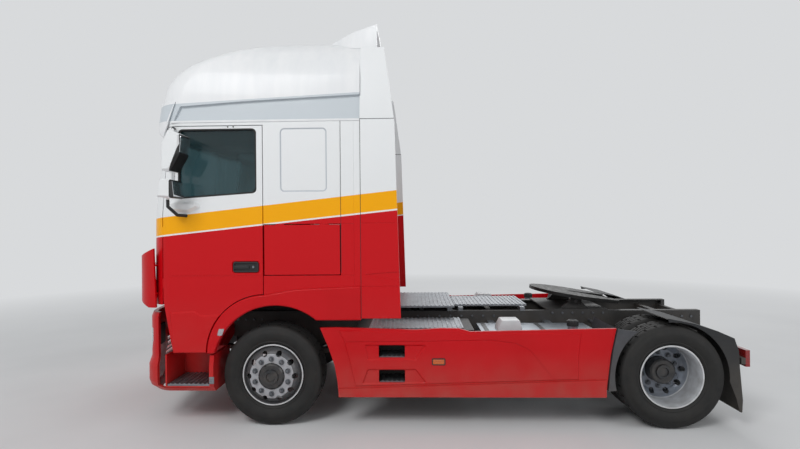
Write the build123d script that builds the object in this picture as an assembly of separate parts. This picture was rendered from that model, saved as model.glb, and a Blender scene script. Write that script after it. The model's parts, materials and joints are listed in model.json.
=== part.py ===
from build123d import *
import os
from math import cos, radians, sin

# Road tractor, two axles, high sleeper cab over the engine. Millimetres.
# X points forward, Y to the vehicle's left, Z up. The origin is on the ground
# under the middle of the vehicle. Lengths that follow an axle are measured from it.

# Main sizes
wheelbase = 3800
front_overhang = 1380
rear_overhang = 740
body_width = 2490
panel_gap = 8
running_gap = 0.5

front_x = (wheelbase + rear_overhang - front_overhang) / 2
rear_x = front_x - wheelbase
nose_x = front_x + front_overhang
tail_x = rear_x - rear_overhang
half_body = body_width / 2

# Wheels and tyres
tyre_radius = 490
tyre_width = 314
rim_radius = 298
front_tyre_y = 1025
twin_spacing = 345
rear_outer_y = 1088
rear_inner_y = rear_outer_y - twin_spacing
flange_offset = 127
front_disc_y = 1200
rear_disc_y = 930
disc_plate = 14
disc_bow = 75
nut_circle = 335
nut_count = 10
nut_size = 32
nut_height = 24
hand_hole_count = 10
hand_hole_radius = 27
hand_hole_circle = 222
hub_radius = 122
hub_front_inner = 1000
hub_front_cap = 1236
hub_rear_inner = 650
hub_rear_cap = 1062
spindle_radius = 45

# Steering
kingpin_y = 930
kingpin_radius = 25
eye_height = 130

# Frame
rail_half = 430
rail_height = 270
rail_flange = 75
rail_web = 9
rail_top = 985
rail_front = front_x + 1010
engine_half = 650

# Cab
cab_wall = 60
cab_rear = front_x - 876
cab_bottom = 719
cab_top = 2940
belt = 2030
floor_level = 1290
floor_thick = 40
tunnel_half = 420
tunnel_top = 1560
cab_corner_radius = 230
crown_low = 3185
crown_high = 3828
crown_nose = 30
crown_half = 745
roof_nose = 1225
roof_half = half_body - 18
gutter_proud = 7
pivot_x = front_x + 1230
pivot_z = 1000
pivot_y = 395
pivot_pin = 20

# Door
door_front = front_x + 1045
door_rear = front_x + 55
door_top = 2912
door_bottom = 719
window_front = front_x + 880
window_rear = front_x + 118
window_top = 2880
window_low_front = 2209
window_low_rear = 2259
glass_thick = 6
glass_depth = 26

# Pressed forms of the cab's side, measured from the front axle
crease_width = 4
crease_depth = 3
side_recess = [(-558, 2875), (-558, 2269), (-112, 2269), (-112, 2875)]
side_recess_depth = 6
step_cover = [(970, 1120), (734, 1136), (656, 1093), (457, 1101), (607, 722), (945, 722), (971, 1000)]
step_cover_proud = 12
pull_recess = [(95, 1491), (360, 1491), (360, 1608), (95, 1608)]
pull_depth = 12
mirror_reach = 315

# Wheel arch
arch_x = front_x - 54
arch_z = 567
arch_radius = 613
flare_x = front_x + 51
flare_z = 723
flare_radius = 558
flare_proud = 14
flare_bevel = 10
band_low = 1038
band_high = 1356

# Hinges
hinge_radius = panel_gap / 2 + 0.2
door_axis_x = door_front - panel_gap / 2 - 0.5
door_axis_y = half_body - 17.5

# Locker lid
locker_rear = front_x - 688
locker_low = 1466
locker_high = 1959
locker_axis_y = half_body - 3
locker_axis_z = locker_high - panel_gap / 2 - 0.5

# Front lid and grille
lid_half = 880
lid_low = 1190
lid_high = 1990
lid_axis_x = front_x + 1316
lid_axis_z = lid_high - panel_gap / 2
slot_count = 6
slot_height = 34
slot_pitch = 62
slot_half = 700
slot_start = 1300
grille_depth = 12

# Bumper and entry step
bumper_low = 345
bumper_high = 1110
bumper_wall = 40
bumper_corner = 1262
bumper_radius = 215
bumper_rear = front_x + 552
bumper_slots = 6
bumper_slot_start = 476
bumper_slot_height = 30
bumper_slot_pitch = 52
upright_thick = 42
sill_high = 378
well_back = 800
well_rim = half_body - 3 - bumper_wall - 0.3
well_front = front_x + 1040
well_high = 700

# Boxes on the rails, with two steps sunk in the left one
box_front = front_x - 780
box_rear = front_x - 1960
box_side = 1160
box_top = 925
step_front = front_x - 1040
step_rear = front_x - 1290
step_back = 960
step_lows = (437, 674)
step_high = 122

# Ribbed plates
rib_pitch = 45
rib_width = 18
rib_height = 5

# Skirt and tanks
tank_front = front_x - 2040
tank_rear = rear_x + 640
tank_radius = 90
strap_proud = 4
skirt_low = 305
skirt_thick = 36
skirt_raise = 8

# Air deflectors and mudguards
collar_wall = 40
spoiler_wall = 26
guard_outer = half_body - 5

# Fifth wheel
kingpin_bore = 26
plate_radius = 457
plate_thick = 36
plate_x = rear_x + 625
plate_z = 1150
plate_rest = 8.6
plate_pin_drop = 70
plate_balance = 28


def block(x, y, z):
    """Box between the low and high values given for each axis."""
    size = [high - low for low, high in (x, y, z)]
    middle = [(high + low) / 2 for low, high in (x, y, z)]
    return Pos(*middle) * Box(*size)


def slab(outline, low, high, along="Y", radius=0):
    """Closed outline, as corner points or edges, run from low to high along one axis."""
    lift = {"X": Vector(1, 0, 0), "Y": Vector(0, 1, 0), "Z": Vector(0, 0, 1)}[along]
    place = {
        "X": lambda u, v: Vector(low, u, v),
        "Y": lambda u, v: Vector(u, low, v),
        "Z": lambda u, v: Vector(u, v, low),
    }[along]
    if isinstance(outline[0], tuple):
        wire = Wire.make_polygon([place(u, v) for u, v in outline], close=True)
        if radius:
            wire = wire.fillet_2d(radius, wire.vertices())
    else:
        wire = Wire(outline).moved(Location(lift * low))
    return Solid.extrude(Face(wire), lift * (high - low))


def side_cut(outline, radius=0):
    """Outline seen from the side, run right through the left wall."""
    return slab(outline, half_body - 345, half_body + 60, "Y", radius)


def tapered(outline, start, reach, radius=0, taper=45):
    """Outline seen from the side, run from y = start by reach while its edges draw in."""
    wire = Wire.make_polygon([Vector(x, start, z) for x, z in outline], close=True)
    if radius:
        wire = wire.fillet_2d(radius, wire.vertices())
    return Solid.extrude_taper(Face(wire), Vector(0, reach, 0), taper)


def pillow(outline, radius, low, high, edge):
    """Outline seen from the side, run from low to high with both ends drawn in."""
    body = slab(outline, low + edge, high - edge, "Y", radius)
    for start, reach in ((high - edge, edge), (low + edge, -edge)):
        body = body + tapered(outline, start, reach, radius, 40)
    return body


def rod(start, end, radius):
    """Round bar between two points."""
    start, end = Vector(*start), Vector(*end)
    plane = Plane(origin=start, z_dir=end - start)
    return Solid.extrude(Face(Wire.make_circle(radius, plane)), end - start)


def turned(profile, centre):
    """Closed profile of (radius, y) points turned about the Y direction through a centre."""
    face = Face(Wire.make_polygon([Vector(r, y, 0) for r, y in profile], close=True))
    return Solid.revolve(face, 360, Axis.Y).moved(Location(Vector(*centre)))


def both_sides(solid):
    """A left piece and its mirror on the right."""
    return [solid, mirror(solid, Plane.XZ)]


def from_front(points):
    """Points measured from the front axle, moved into place."""
    return [(front_x + x, z) for x, z in points]


def from_rear(points):
    """Points measured from the rear axle, moved into place."""
    return [(rear_x + x, z) for x, z in points]


def plan(z, nose, corner, half, radius, back, inset=0):
    """Wire at height z: straight sides, round front corners and a bowed front."""
    nose, corner, half, radius = nose - inset, corner - inset, half - inset, radius - inset
    back = back + inset
    middle_x, middle_y = corner - radius, half - radius
    turn = [(middle_x + radius * cos(radians(a)), middle_y + radius * sin(radians(a)))
            for a in (90, 50, 10)]
    left = [Vector(x, y, z) for x, y in turn]
    right = [Vector(x, -y, z) for x, y in turn]
    edges = [
        Edge.make_line(Vector(back, half, z), left[0]),
        Edge.make_three_point_arc(left[0], left[1], left[2]),
        Edge.make_three_point_arc(left[2], Vector(nose, 0, z), right[2]),
        Edge.make_three_point_arc(right[2], right[1], right[0]),
        Edge.make_line(right[0], Vector(back, -half, z)),
        Edge.make_line(Vector(back, -half, z), Vector(back, half, z)),
    ]
    return Wire(edges)


def stack(table, inset=0, drop=0, floor=None):
    """Ruled body through plan sections; inset and drop give the inside of a wall."""
    wires = []
    for row, (z, nose, corner, half, radius, back) in enumerate(table):
        level = z - drop if row else (z if floor is None else floor)
        wires.append(plan(level, front_x + nose, front_x + corner, half, radius, back, inset))
    return Solid.make_loft(wires, ruled=True)


def crease(rear, front, height):
    """Cutter for a pressed line along the left side."""
    return block((rear, front), (half_body - crease_depth, half_body + 1), (height, height + crease_width))


def ribbed_plate(x, y, bottom, thick):
    """Plate between the x and y values with raised ribs across it."""
    low, high = x
    top = bottom + thick
    count = int((high - low - rib_width) // rib_pitch) + 1
    start = (low + high - rib_width - (count - 1) * rib_pitch) / 2
    profile = [(high, top), (high, bottom), (low, bottom), (low, top)]
    for rib in range(count):
        left = start + rib * rib_pitch
        right = left + rib_width
        profile += [(left, top), (left, top + rib_height), (right, top + rib_height), (right, top)]
    return slab(profile, y[0], y[1])


def roof_row(share):
    """Plan section of the crown at a share of its height, on one swelling curve."""
    swell = (1 - share ** 2.2) ** (1 / 1.85)
    nose = crown_nose + (roof_nose - crown_nose) * swell
    half = crown_half + (roof_half - crown_half) * swell
    height = crown_low + (crown_high - crown_low) * share
    return height, nose, nose - 98, half, 290 + 70 * share, cab_rear


# Plan sections of the cab and the roof.
# height, nose, corner, half width, corner radius, back
cab_sections = [
    (cab_bottom, 1335, 1200, half_body, cab_corner_radius, cab_rear),
    (belt, 1310, 1186, half_body, cab_corner_radius, cab_rear),
    (cab_top, 1205, 1085, half_body, cab_corner_radius, cab_rear),
]
roof_sections = [(cab_top, roof_nose, 1100, half_body, 240, cab_rear)]
roof_sections += [roof_row(share) for share in (0, 0.2, 0.38, 0.54, 0.68, 0.8, 0.9, 0.96, 1)]
visor_sections = [
    (2800, 1312, 1138, half_body + 5, 245, cab_rear),
    (2860, 1325, 1150, half_body + 6, 250, cab_rear),
    (2960, 1330, 1155, half_body + 8, 255, cab_rear),
    (3150, 1250, 1146, half_body - 4, 290, cab_rear),
]

# Bumper rows: height, how far the face is drawn in.
bumper_rows = [
    (bumper_low, 60), (bumper_low + 55, 12), (bumper_low + 105, 0), (600, 0), (680, 20),
    (bumper_high - 44, 20), (bumper_high, 32),
]
bumper_sections = [
    (height, front_overhang - inset, bumper_corner - inset, half_body - 3 - inset, bumper_radius,
     bumper_rear)
    for height, inset in bumper_rows
]

# Side collar: height, x of its rear edge from the front axle, y of its face.
collar_sections = [
    (1054, -1256, half_body), (cab_top, -1206, half_body), (3500, -1132, half_body - 78),
    (3690, -1103, half_body - 155),
]

# Roof spoiler: x from the front axle, top height, top half width, low height, low half width.
spoiler_sections = [
    (-560, 3792, 900, 3770, 905),
    (-781, 3876, 985, 3702, 1036),
    (-1032, 3949, 1010, 3702, 1040),
]


def cab_layer(outer_inset, inner_inset):
    """Skin of the cab between two depths below its outer face."""
    inner = stack(cab_sections, inner_inset)
    return stack(cab_sections, outer_inset) - inner


def door_outline(gap):
    """Edges of the door seen from the side, drawn in by a gap."""
    radius = flare_radius + gap
    arc_start = (door_rear + gap, flare_z + (radius ** 2 - (door_rear + gap - flare_x) ** 2) ** 0.5)
    low = door_bottom + gap
    arc_end = (flare_x + (radius ** 2 - (low - flare_z) ** 2) ** 0.5, low)
    arc_middle = (flare_x + radius * cos(radians(45)), flare_z + radius * sin(radians(45)))
    front_low = (front_x + 946 - gap, low)
    front_bend = (door_front - gap, 1238)
    front_belt = (door_front - gap, belt + 20)
    front_top = (front_x + 985 - gap, door_top - gap)
    rear_top = (door_rear + gap, door_top - gap)
    corners = (arc_start, arc_end, front_low, front_bend, front_belt, front_top, rear_top, arc_start)
    at = [Vector(u, 0, v) for u, v in corners]
    arc = Edge.make_three_point_arc(at[0], Vector(arc_middle[0], 0, arc_middle[1]), at[1])
    return [arc] + [Edge.make_line(at[i], at[i + 1]) for i in range(1, 7)]


def window_outline(grow=0):
    """Corner points of the door window, grown by a rim width."""
    return [
        (window_rear - grow, window_low_rear - grow),
        (window_front + grow, window_low_front - grow),
        (window_front + grow, window_top + grow),
        (window_rear - grow, window_top + grow),
    ]


def round_corners(solid, radius, axis=Axis.Y):
    """Round the edges that run along an axis."""
    edges = [e for e in solid.edges() if abs(e.tangent_at(0.5).dot(axis.direction)) > 0.999]
    return solid.fillet(radius, edges)


def windscreen_prism(gap):
    """Opening of the windscreen, seen from the front."""
    low, high = belt + 22 + gap, cab_top - 56 - gap
    outline = [(-1085 + gap, low), (1085 - gap, low), (1045 - gap, high), (-1045 + gap, high)]
    return slab(outline, front_x + 985, front_x + 1400, "X")


def lid_prism(gap):
    """Opening of the front lid."""
    return block((front_x + 1100, front_x + 1400), (-lid_half + gap, lid_half - gap),
                 (lid_low + gap, lid_high - gap))


def locker_prism(gap):
    """Opening of the left outside locker."""
    outline = [(locker_rear + gap, locker_low + gap), (door_rear - gap, locker_low + gap),
               (door_rear - gap, locker_high - gap), (locker_rear + gap, locker_high - gap)]
    return side_cut(outline)


def window_prism():
    """Opening of the left door window."""
    return side_cut(window_outline(), 45)


def cab_side(skin):
    """Left side behind the door, with its pressed panel and lines."""
    side = skin & block((cab_rear + cab_wall, door_front), (0, half_body + 60), (1240, cab_top))
    side = side - side_cut(door_outline(0)) - side_cut(flare_edge(0)) - locker_prism(0) - arch_disc()
    side = side - tapered(from_front(side_recess), half_body, -side_recess_depth, 45)
    for height in (locker_low, locker_high - crease_width):
        side = side - crease(cab_rear, locker_rear, height)
    upright = block((locker_rear, locker_rear + crease_width), (half_body - crease_depth, half_body + 1),
                    (belt + 14, cab_top - 20))
    return side - upright


def cab_front(skin):
    """Front frame round the windscreen and the front lid."""
    front = skin & block((door_front, nose_x), (-half_body, half_body), (lid_low, cab_top))
    front = front - windscreen_prism(0) - lid_prism(0)
    for door_hole in both_sides(side_cut(door_outline(0))):
        front = front - door_hole
    return front


def cab_back(skin):
    """Rear wall."""
    rear = skin & block((cab_rear, cab_rear + cab_wall), (-half_body, half_body), (band_low, cab_top))
    for lower_cut in both_sides(side_cut(flare_edge(0))):
        rear = rear - lower_cut
    return rear


def cab_door(skin):
    """Left door: hinge leaves, window, pull recess, pressed line and raised step cover."""
    door = skin & side_cut(door_outline(panel_gap))
    cover = tapered(from_front(step_cover), half_body - 4, step_cover_proud + 4)
    door = door + (cover & side_cut(door_outline(panel_gap + 2)))
    door = door - tapered(from_front(pull_recess), half_body, -pull_depth, 25, 30)
    door = door - crease(door_rear, door_front, locker_low)
    for z in (1350, 1850):
        door = door + rod((door_axis_x, door_axis_y, z), (door_axis_x, door_axis_y, z + 90), hinge_radius)
        door = door + block((door_axis_x - 16, door_axis_x), (door_axis_y - 10, door_axis_y), (z, z + 90))
    return door - window_prism()


def front_lid(skin):
    """Front lid with its sunk grille of slots and two hinge leaves."""
    lid = skin & lid_prism(panel_gap)
    grille_half = slot_half + 50
    sunk = (stack(cab_sections, -1) - stack(cab_sections, grille_depth)) & block(
        (front_x + 1000, nose_x), (-grille_half, grille_half),
        (slot_start - 40, slot_start + slot_count * slot_pitch + 12))
    lid = lid - sunk
    for row in range(slot_count):
        z = slot_start + row * slot_pitch
        lid = lid - block((front_x + 1000, nose_x), (-slot_half, slot_half), (z, z + slot_height))
    for y in (-260, 260):
        low, high = y - 40, y + 40
        leaf = (lid_high - panel_gap - 4, lid_high - 0.3)
        lid = lid + block((lid_axis_x - 26, lid_axis_x), (low, high), leaf)
        barrel = rod((lid_axis_x, low, lid_axis_z), (lid_axis_x, high, lid_axis_z), panel_gap / 2 - 0.3)
        lid = lid + barrel
    return lid


def locker_lid(skin):
    """Left locker lid with two hinge barrels along its top."""
    lid = skin & locker_prism(panel_gap)
    y, z = locker_axis_y, locker_axis_z
    for x in (locker_rear + 120, door_rear - 200):
        lid = lid + rod((x, y, z), (x + 80, y, z), hinge_radius)
    return lid


def door_glass():
    """Left door window pane."""
    outer = half_body - glass_depth
    return slab(window_outline(), outer - glass_thick, outer, "Y", 45)


def arch_disc():
    """Round space of the left front wheel arch."""
    return rod((arch_x, 800, arch_z), (arch_x, 1400, arch_z), arch_radius)


def flare_edge(gap):
    """Outline of the wheel arch flare and the lower side band behind it."""
    radius = flare_radius - gap
    low = door_bottom + 3
    start = Vector(flare_x + (radius ** 2 - (low - flare_z) ** 2) ** 0.5, 0, low)
    middle = Vector(flare_x + radius * cos(radians(45)), 0, flare_z + radius * sin(radians(45)))
    top = Vector(flare_x, 0, flare_z + radius)
    band = [Vector(front_x - 240, 0, band_high - 22 - gap), Vector(cab_rear, 0, band_high + 7 - gap),
            Vector(cab_rear, 0, band_low)]
    rise = band_low - arch_z
    arch_rear = Vector(arch_x - (arch_radius ** 2 - rise ** 2) ** 0.5, 0, band_low)
    arch_top = Vector(arch_x, 0, arch_z + arch_radius)
    arch_front = Vector(arch_x + (arch_radius ** 2 - (low - arch_z) ** 2) ** 0.5, 0, low)
    return [
        Edge.make_three_point_arc(start, middle, top),
        Edge.make_line(top, band[0]),
        Edge.make_line(band[0], band[1]),
        Edge.make_line(band[1], band[2]),
        Edge.make_line(band[2], arch_rear),
        Edge.make_three_point_arc(arch_rear, arch_top, arch_front),
        Edge.make_line(arch_front, start),
    ]


def wheel_flare():
    """Thick flare over the front wheel with the band that runs back to the cab's rear."""
    flare = slab(flare_edge(0.3), half_body - cab_wall, half_body + flare_proud)
    face = [edge for edge in flare.edges() if edge.center().Y > half_body + flare_proud - 0.01]
    return flare.chamfer(flare_bevel, None, face)


def cab_roof():
    """Hollow high roof with a gutter and a sunk band along each side."""
    inner = [roof_sections[row] for row in (0, 1, 4, 7, 9)]
    shell = stack(roof_sections) - stack(inner, cab_wall, cab_wall, cab_top - 1)
    high, low, beyond = crown_low + 20, cab_top + 20, half_body + 60
    depth = [(half_body - 26, cab_top), (half_body - 46, high), (beyond, high), (beyond, cab_top)]
    face = slab(depth, cab_rear - 1, nose_x, "X")
    band = from_front([(925, low), (860, 3103), (236, 3145)]) + [(cab_rear - 1, 3195), (cab_rear - 1, low)]
    gutter = block((cab_rear, front_x + 945), (half_body - 20, half_body + gutter_proud), (cab_top + 1, low))
    for sunk, lip in zip(both_sides(side_cut(band) & face), both_sides(gutter)):
        shell = shell - sunk + lip
    return shell


def sun_visor():
    """Visor that wraps the windscreen's head and comes down over both corners."""
    shell = stack(visor_sections) - stack(visor_sections, 22, -1, visor_sections[0][0] - 1)
    side = from_front([(905, 3150), (985, 2925), (1040, 2815), (1110, 2860)])
    side += [(nose_x, 2885), (nose_x, 3150)]
    shell = shell & slab(side, -half_body - 60, half_body + 60)
    return shell - stack(cab_sections) - stack(roof_sections)


def side_collar():
    """Air deflector behind the cab side: flat below, leaning in beside the roof."""
    ahead = cab_rear - 0.3
    wires = []
    for height, rear, outer in collar_sections:
        behind, inner = front_x + rear, outer - collar_wall
        corners = ((ahead, outer), (behind, outer), (behind, inner), (ahead, inner))
        wires.append(Wire.make_polygon([Vector(x, y, height) for x, y in corners], close=True))
    collar = Solid.make_loft(wires, ruled=True)
    wedge = from_front([(-924, 1476), (-1290, 1502), (-1290, 1403), (-1026, 1442)])
    collar = collar - slab(wedge, half_body - 7, half_body + 1)
    for height in (band_high, locker_high, 2974):
        collar = collar - crease(front_x - 1290, cab_rear, height)
    return collar


def spoiler_body(inset):
    """Closed wedge through the spoiler's sections, drawn in by the wall for its inside."""
    wires = []
    for x, top, half, low, low_half in spoiler_sections:
        corners = [(half - inset, top - inset), (inset - half, top - inset),
                   (inset - low_half, low - 2 * inset), (low_half - inset, low - 2 * inset)]
        wires.append(Wire.make_polygon([Vector(front_x + x, y, z) for y, z in corners], close=True))
    return Solid.make_loft(wires, ruled=True)


def roof_spoiler():
    """Hollow wedge that rises from the roof's rear to the highest edge, open behind."""
    shell = spoiler_body(0) - Pos(-1, 0, 0) * spoiler_body(spoiler_wall)
    return shell - stack(roof_sections, -0.3, -0.3)


def corner_deflector():
    """Air guide that stands round the cab's front corner, below the windscreen."""
    half = half_body + 16
    table = [(1160, 1380, 1335, half, 250, cab_rear), (1740, 1380, 1335, half, 250, cab_rear)]
    shell = stack(table) - stack(table, 30, -1, 1159)
    outline = from_front([(1098, 1165), (1180, 1165), (1290, 1215), (1400, 1290), (1400, 1640), (1300, 1660),
                          (1120, 1735)])
    window = slab(outline, lid_half + 12, half_body + 60)
    piece = shell & window
    fill = (stack(table) - stack(cab_sections, -0.3)) & window
    for z in (1290, 1560):
        piece = piece + (fill & block((front_x, nose_x), (lid_half, half_body + 60), (z, z + 16)))
    return piece


def cab_floor():
    """Floor with the raised tunnel over the engine, and the two arms to the tilt pivot."""
    outer = half_body - cab_wall
    low, high = floor_level, floor_level + floor_thick
    side = tunnel_half + floor_thick
    profile = [
        (-outer, low), (-tunnel_half, low), (-tunnel_half, tunnel_top - floor_thick),
        (tunnel_half, tunnel_top - floor_thick), (tunnel_half, low), (outer, low), (outer, high),
        (side, high), (side, tunnel_top), (-side, tunnel_top), (-side, high), (-outer, high),
    ]
    floor = slab(profile, cab_rear + cab_wall, front_x + 1000, "X")
    shelf = block((front_x + 880, front_x + 1300), (-1100, 1100), (low, high))
    floor = (floor + shelf) & stack(cab_sections, cab_wall + 6)
    arm_profile = [(pivot_x - 320, low), (pivot_x - 240, low), (pivot_x - 22, pivot_z + 32),
                   (pivot_x - 46, pivot_z - 12)]
    for y in (-pivot_y, pivot_y):
        eye = rod((pivot_x, y - 25, pivot_z), (pivot_x, y + 25, pivot_z), 40)
        bore = rod((pivot_x, y - 30, pivot_z), (pivot_x, y + 30, pivot_z), pivot_pin + running_gap)
        floor = floor + (slab(arm_profile, y - 25, y + 25) + eye - bore)
    for side in (1, -1):
        floor = floor + seat_base(side)
    return floor


def tyre(y):
    """Tyre section with round shoulders and bulged walls, centred at y."""
    half = tyre_width / 2
    wall = [(rim_radius - 8, flange_offset - 22), (rim_radius + 14, flange_offset + 6),
            (rim_radius + 105, half), (tyre_radius - 28, half - 12), (tyre_radius, half - 45)]
    return [(r, y - across) for r, across in wall] + [(r, y + across) for r, across in wall[::-1]]


def rim(y, disc_y, bow):
    """Wheel rim: barrel with two flanges, and a dished disc at disc_y."""
    edge = flange_offset
    barrel = [
        (rim_radius, y - edge), (rim_radius - 8.4, y - edge + 22), (rim_radius - 8.4, y + edge - 22),
        (rim_radius, y + edge), (rim_radius - 14, y + edge), (rim_radius - 30, y + edge - 34),
        (rim_radius - 30, y - edge + 34), (rim_radius - 14, y - edge),
    ]
    inner = hub_radius + 6
    back_y = disc_y - disc_plate
    disc = [
        (rim_radius - 25, disc_y - bow), (rim_radius - 25, back_y - bow), (205, back_y), (inner, back_y),
        (inner, disc_y), (210, disc_y), (240, disc_y - bow * 0.35),
    ]
    return barrel, disc


def wheel(axle_x, tyre_ys, disc_y, bow, inner_disc=None):
    """Left wheel: tyres, rims with hand holes and nuts, and the hub that turns on its spindle."""
    centre = (axle_x, 0, tyre_radius)
    tyres = [turned(tyre(y), centre) for y in tyre_ys]
    metal = None
    for y, face, lean in zip(tyre_ys, (disc_y, inner_disc), (bow, -bow)):
        barrel, disc = rim(y, face, lean)
        piece = turned(barrel, centre) + turned(disc, centre)
        for hole in range(hand_hole_count):
            angle = radians(hole * 360 / hand_hole_count)
            x = axle_x + hand_hole_circle * cos(angle)
            z = tyre_radius + hand_hole_circle * sin(angle)
            piece = piece - rod((x, face - 90, z), (x, face + 90, z), hand_hole_radius)
        metal = piece if metal is None else metal + piece
    return tyres, metal


def hub(axle_x, inner_y, face_y, cap_y):
    """Hub and brake drum on the spindle, with a stepped cap whose middle is sunk."""
    drum = 195
    bore = spindle_radius + running_gap
    seat_y = face_y - disc_plate
    profile = [
        (bore, inner_y), (drum, inner_y), (drum, inner_y + 120), (hub_radius + 60, seat_y),
        (hub_radius, seat_y), (hub_radius, cap_y - 30), (hub_radius - 14, cap_y - 18), (74, cap_y - 18),
        (68, cap_y), (46, cap_y), (42, cap_y - 14), (0, cap_y - 14), (0, cap_y - 40), (bore, cap_y - 40),
    ]
    return turned(profile, (axle_x, 0, tyre_radius))


def nuts(axle_x, face_y):
    """Ring of wheel nuts on the disc."""
    ring = []
    for number in range(nut_count):
        angle = radians((number + 0.5) * 360 / nut_count)
        x = axle_x + nut_circle / 2 * cos(angle)
        z = tyre_radius + nut_circle / 2 * sin(angle)
        hexagon = [(x + nut_size / 2 * sin(radians(a)), z + nut_size / 2 * cos(radians(a)))
                   for a in range(0, 360, 60)]
        ring.append(slab(hexagon, face_y, face_y + nut_height))
    return ring


def kept_wheel(axle_x, tyre_ys, disc_y, bow, inner_disc, hub_inner, hub_cap):
    """Tyres, and one metal piece of rims, hub and nuts, for a left wheel."""
    tyres, metal = wheel(axle_x, tyre_ys, disc_y, bow, inner_disc)
    metal = metal + hub(axle_x, hub_inner, disc_y, hub_cap)
    for nut in nuts(axle_x, disc_y):
        metal = metal + nut
    return tyres, metal


def knuckle():
    """Left steering knuckle: fork, kingpin and spindle."""
    z = tyre_radius
    half_eye = eye_height / 2 + 1
    top = z + half_eye + 40
    body = block((front_x - 60, front_x + 60), (kingpin_y + 44, hub_front_inner - 0.5), (2 * z - top, top))
    for low in (z + half_eye, z - half_eye - 40):
        body = body + block((front_x - 45, front_x + 45), (kingpin_y - 45, kingpin_y + 60), (low, low + 40))
    body = body + rod((front_x, kingpin_y, 2 * z - top), (front_x, kingpin_y, top), kingpin_radius)
    return body + rod((front_x, kingpin_y + 50, z), (front_x, hub_front_cap - 40.5, z), spindle_radius)


def front_axle():
    """Drop forged beam with an eye for each kingpin."""
    z = tyre_radius
    low, high = z - eye_height / 2, z + eye_height / 2
    right = [(600, 330), (830, low), (895, low), (895, high), (800, high), (560, 450)]
    left = [(-y, height) for y, height in right[::-1]]
    beam = slab(right + left, front_x - 45, front_x + 45, "X")
    for y in (-kingpin_y, kingpin_y):
        beam = beam + rod((front_x, y, low), (front_x, y, high), 42)
        beam = beam - rod((front_x, y, low - 5), (front_x, y, high + 5), kingpin_radius + running_gap)
    return beam


def front_spring():
    """Left leaf spring on the axle, with its hangers up to the rail."""
    leaf = [(-830, 590), (-830, 625), (0, 530), (830, 625), (830, 590), (400, 520), (60, 470), (60, 450),
            (-60, 450), (-60, 470), (-400, 520)]
    spring = slab(from_front(leaf), 345, 425)
    for x in (front_x - 830, front_x + 770):
        spring = spring + block((x, x + 60), (360, 425), (595, rail_top - rail_height))
    return spring


def chassis_frame():
    """Two channel rails, cross members, rear lamp bar and its plates."""
    frame = None
    bottom = rail_top - rail_height
    rail_rear = tail_x + 80
    channel = [(rail_half, bottom), (rail_half, rail_top), (rail_half - rail_flange, rail_top),
               (rail_half - rail_flange, rail_top - rail_web), (rail_half - rail_web, rail_top - rail_web),
               (rail_half - rail_web, bottom + rail_web), (rail_half - rail_flange, bottom + rail_web),
               (rail_half - rail_flange, bottom)]
    left = slab(channel, rail_rear, rail_front, "X")
    frame = left + mirror(left, Plane.XZ)
    between = (-rail_half + rail_web, rail_half - rail_web)
    # x of each cross member, its length along x
    for x, deep in ((rail_front - 90, 70), (front_x - 1500, 60), (front_x - 2300, 60), (rear_x + 300, 60),
                    (rear_x - 420, 60), (rail_rear, 40)):
        frame = frame + block((x, x + deep), between, (bottom + 60, rail_top - 60))
    for side in (-1, 1):
        y = sorted((side * (rail_half - rail_flange), side * rail_half))
        frame = frame + block((tail_x + 40, tail_x + 80), y, (600, rail_top))
    for mount in both_sides(cab_mount()):
        frame = frame + mount
    return frame + block((tail_x + 40, tail_x + 80), (-1180, 1180), (600, 660))


def cab_mount():
    """Left bracket and pin at the front of the rail, on which the cab tilts."""
    outline = [(850, 960), (850, 760), (1010, 760), (pivot_x - front_x + 35, pivot_z - 40),
               (pivot_x - front_x + 35, pivot_z + 32), (pivot_x - front_x - 40, pivot_z + 32)]
    plate = slab([(front_x + u, v) for u, v in outline], rail_half, rail_half + 16)
    return plate + rod((pivot_x, pivot_y - 27, pivot_z), (pivot_x, rail_half + 10, pivot_z), pivot_pin)


def gearbox():
    """Gearbox behind the engine."""
    return block((front_x - 1350, front_x - engine_half), (-240, 240), (560, 960))


def engine():
    """Engine as one plain block with its four mounts to the rails."""
    body = block((front_x - engine_half, front_x + engine_half), (-330, 330), (600, 1480))
    for x in (front_x - 560, front_x + 420):
        body = body + block((x, x + 90), (-rail_half + rail_web, rail_half - rail_web), (800, 880))
    return body


def radiator():
    """Radiator ahead of the engine, held between the rails."""
    between = (-rail_half + rail_web, rail_half - rail_web)
    body = block((front_x + 760, front_x + 850), (-335, 335), (560, 1230))
    return body + block((front_x + 780, front_x + 830), between, (820, 860))


def rear_axle():
    """Driven axle: tube, final drive, spindles and the two spring beams."""
    z = tyre_radius
    body = rod((rear_x, -hub_rear_inner + 6, z), (rear_x, hub_rear_inner - 6, z), 80)
    body = body + rod((rear_x, -120, z), (rear_x, 120, z), 215)
    body = body + rod((rear_x, 0, z + 20), (rear_x + 390, 0, z + 20), 95)
    body = body + rod((rear_x, -hub_rear_cap + 40.5, z), (rear_x, hub_rear_cap - 40.5, z), spindle_radius)
    for side in (-1, 1):
        y = sorted((side * 375, side * 485))
        body = body + block((rear_x - 560, rear_x + 560), y, (350, 425))
    return body


def air_springs():
    """Four air bellows between the spring beams and the rails."""
    return [rod((rear_x + x, y, 425), (rear_x + x, y, rail_top - rail_height), 130)
            for x in (-430, 430) for y in (-rail_half, rail_half)]


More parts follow.
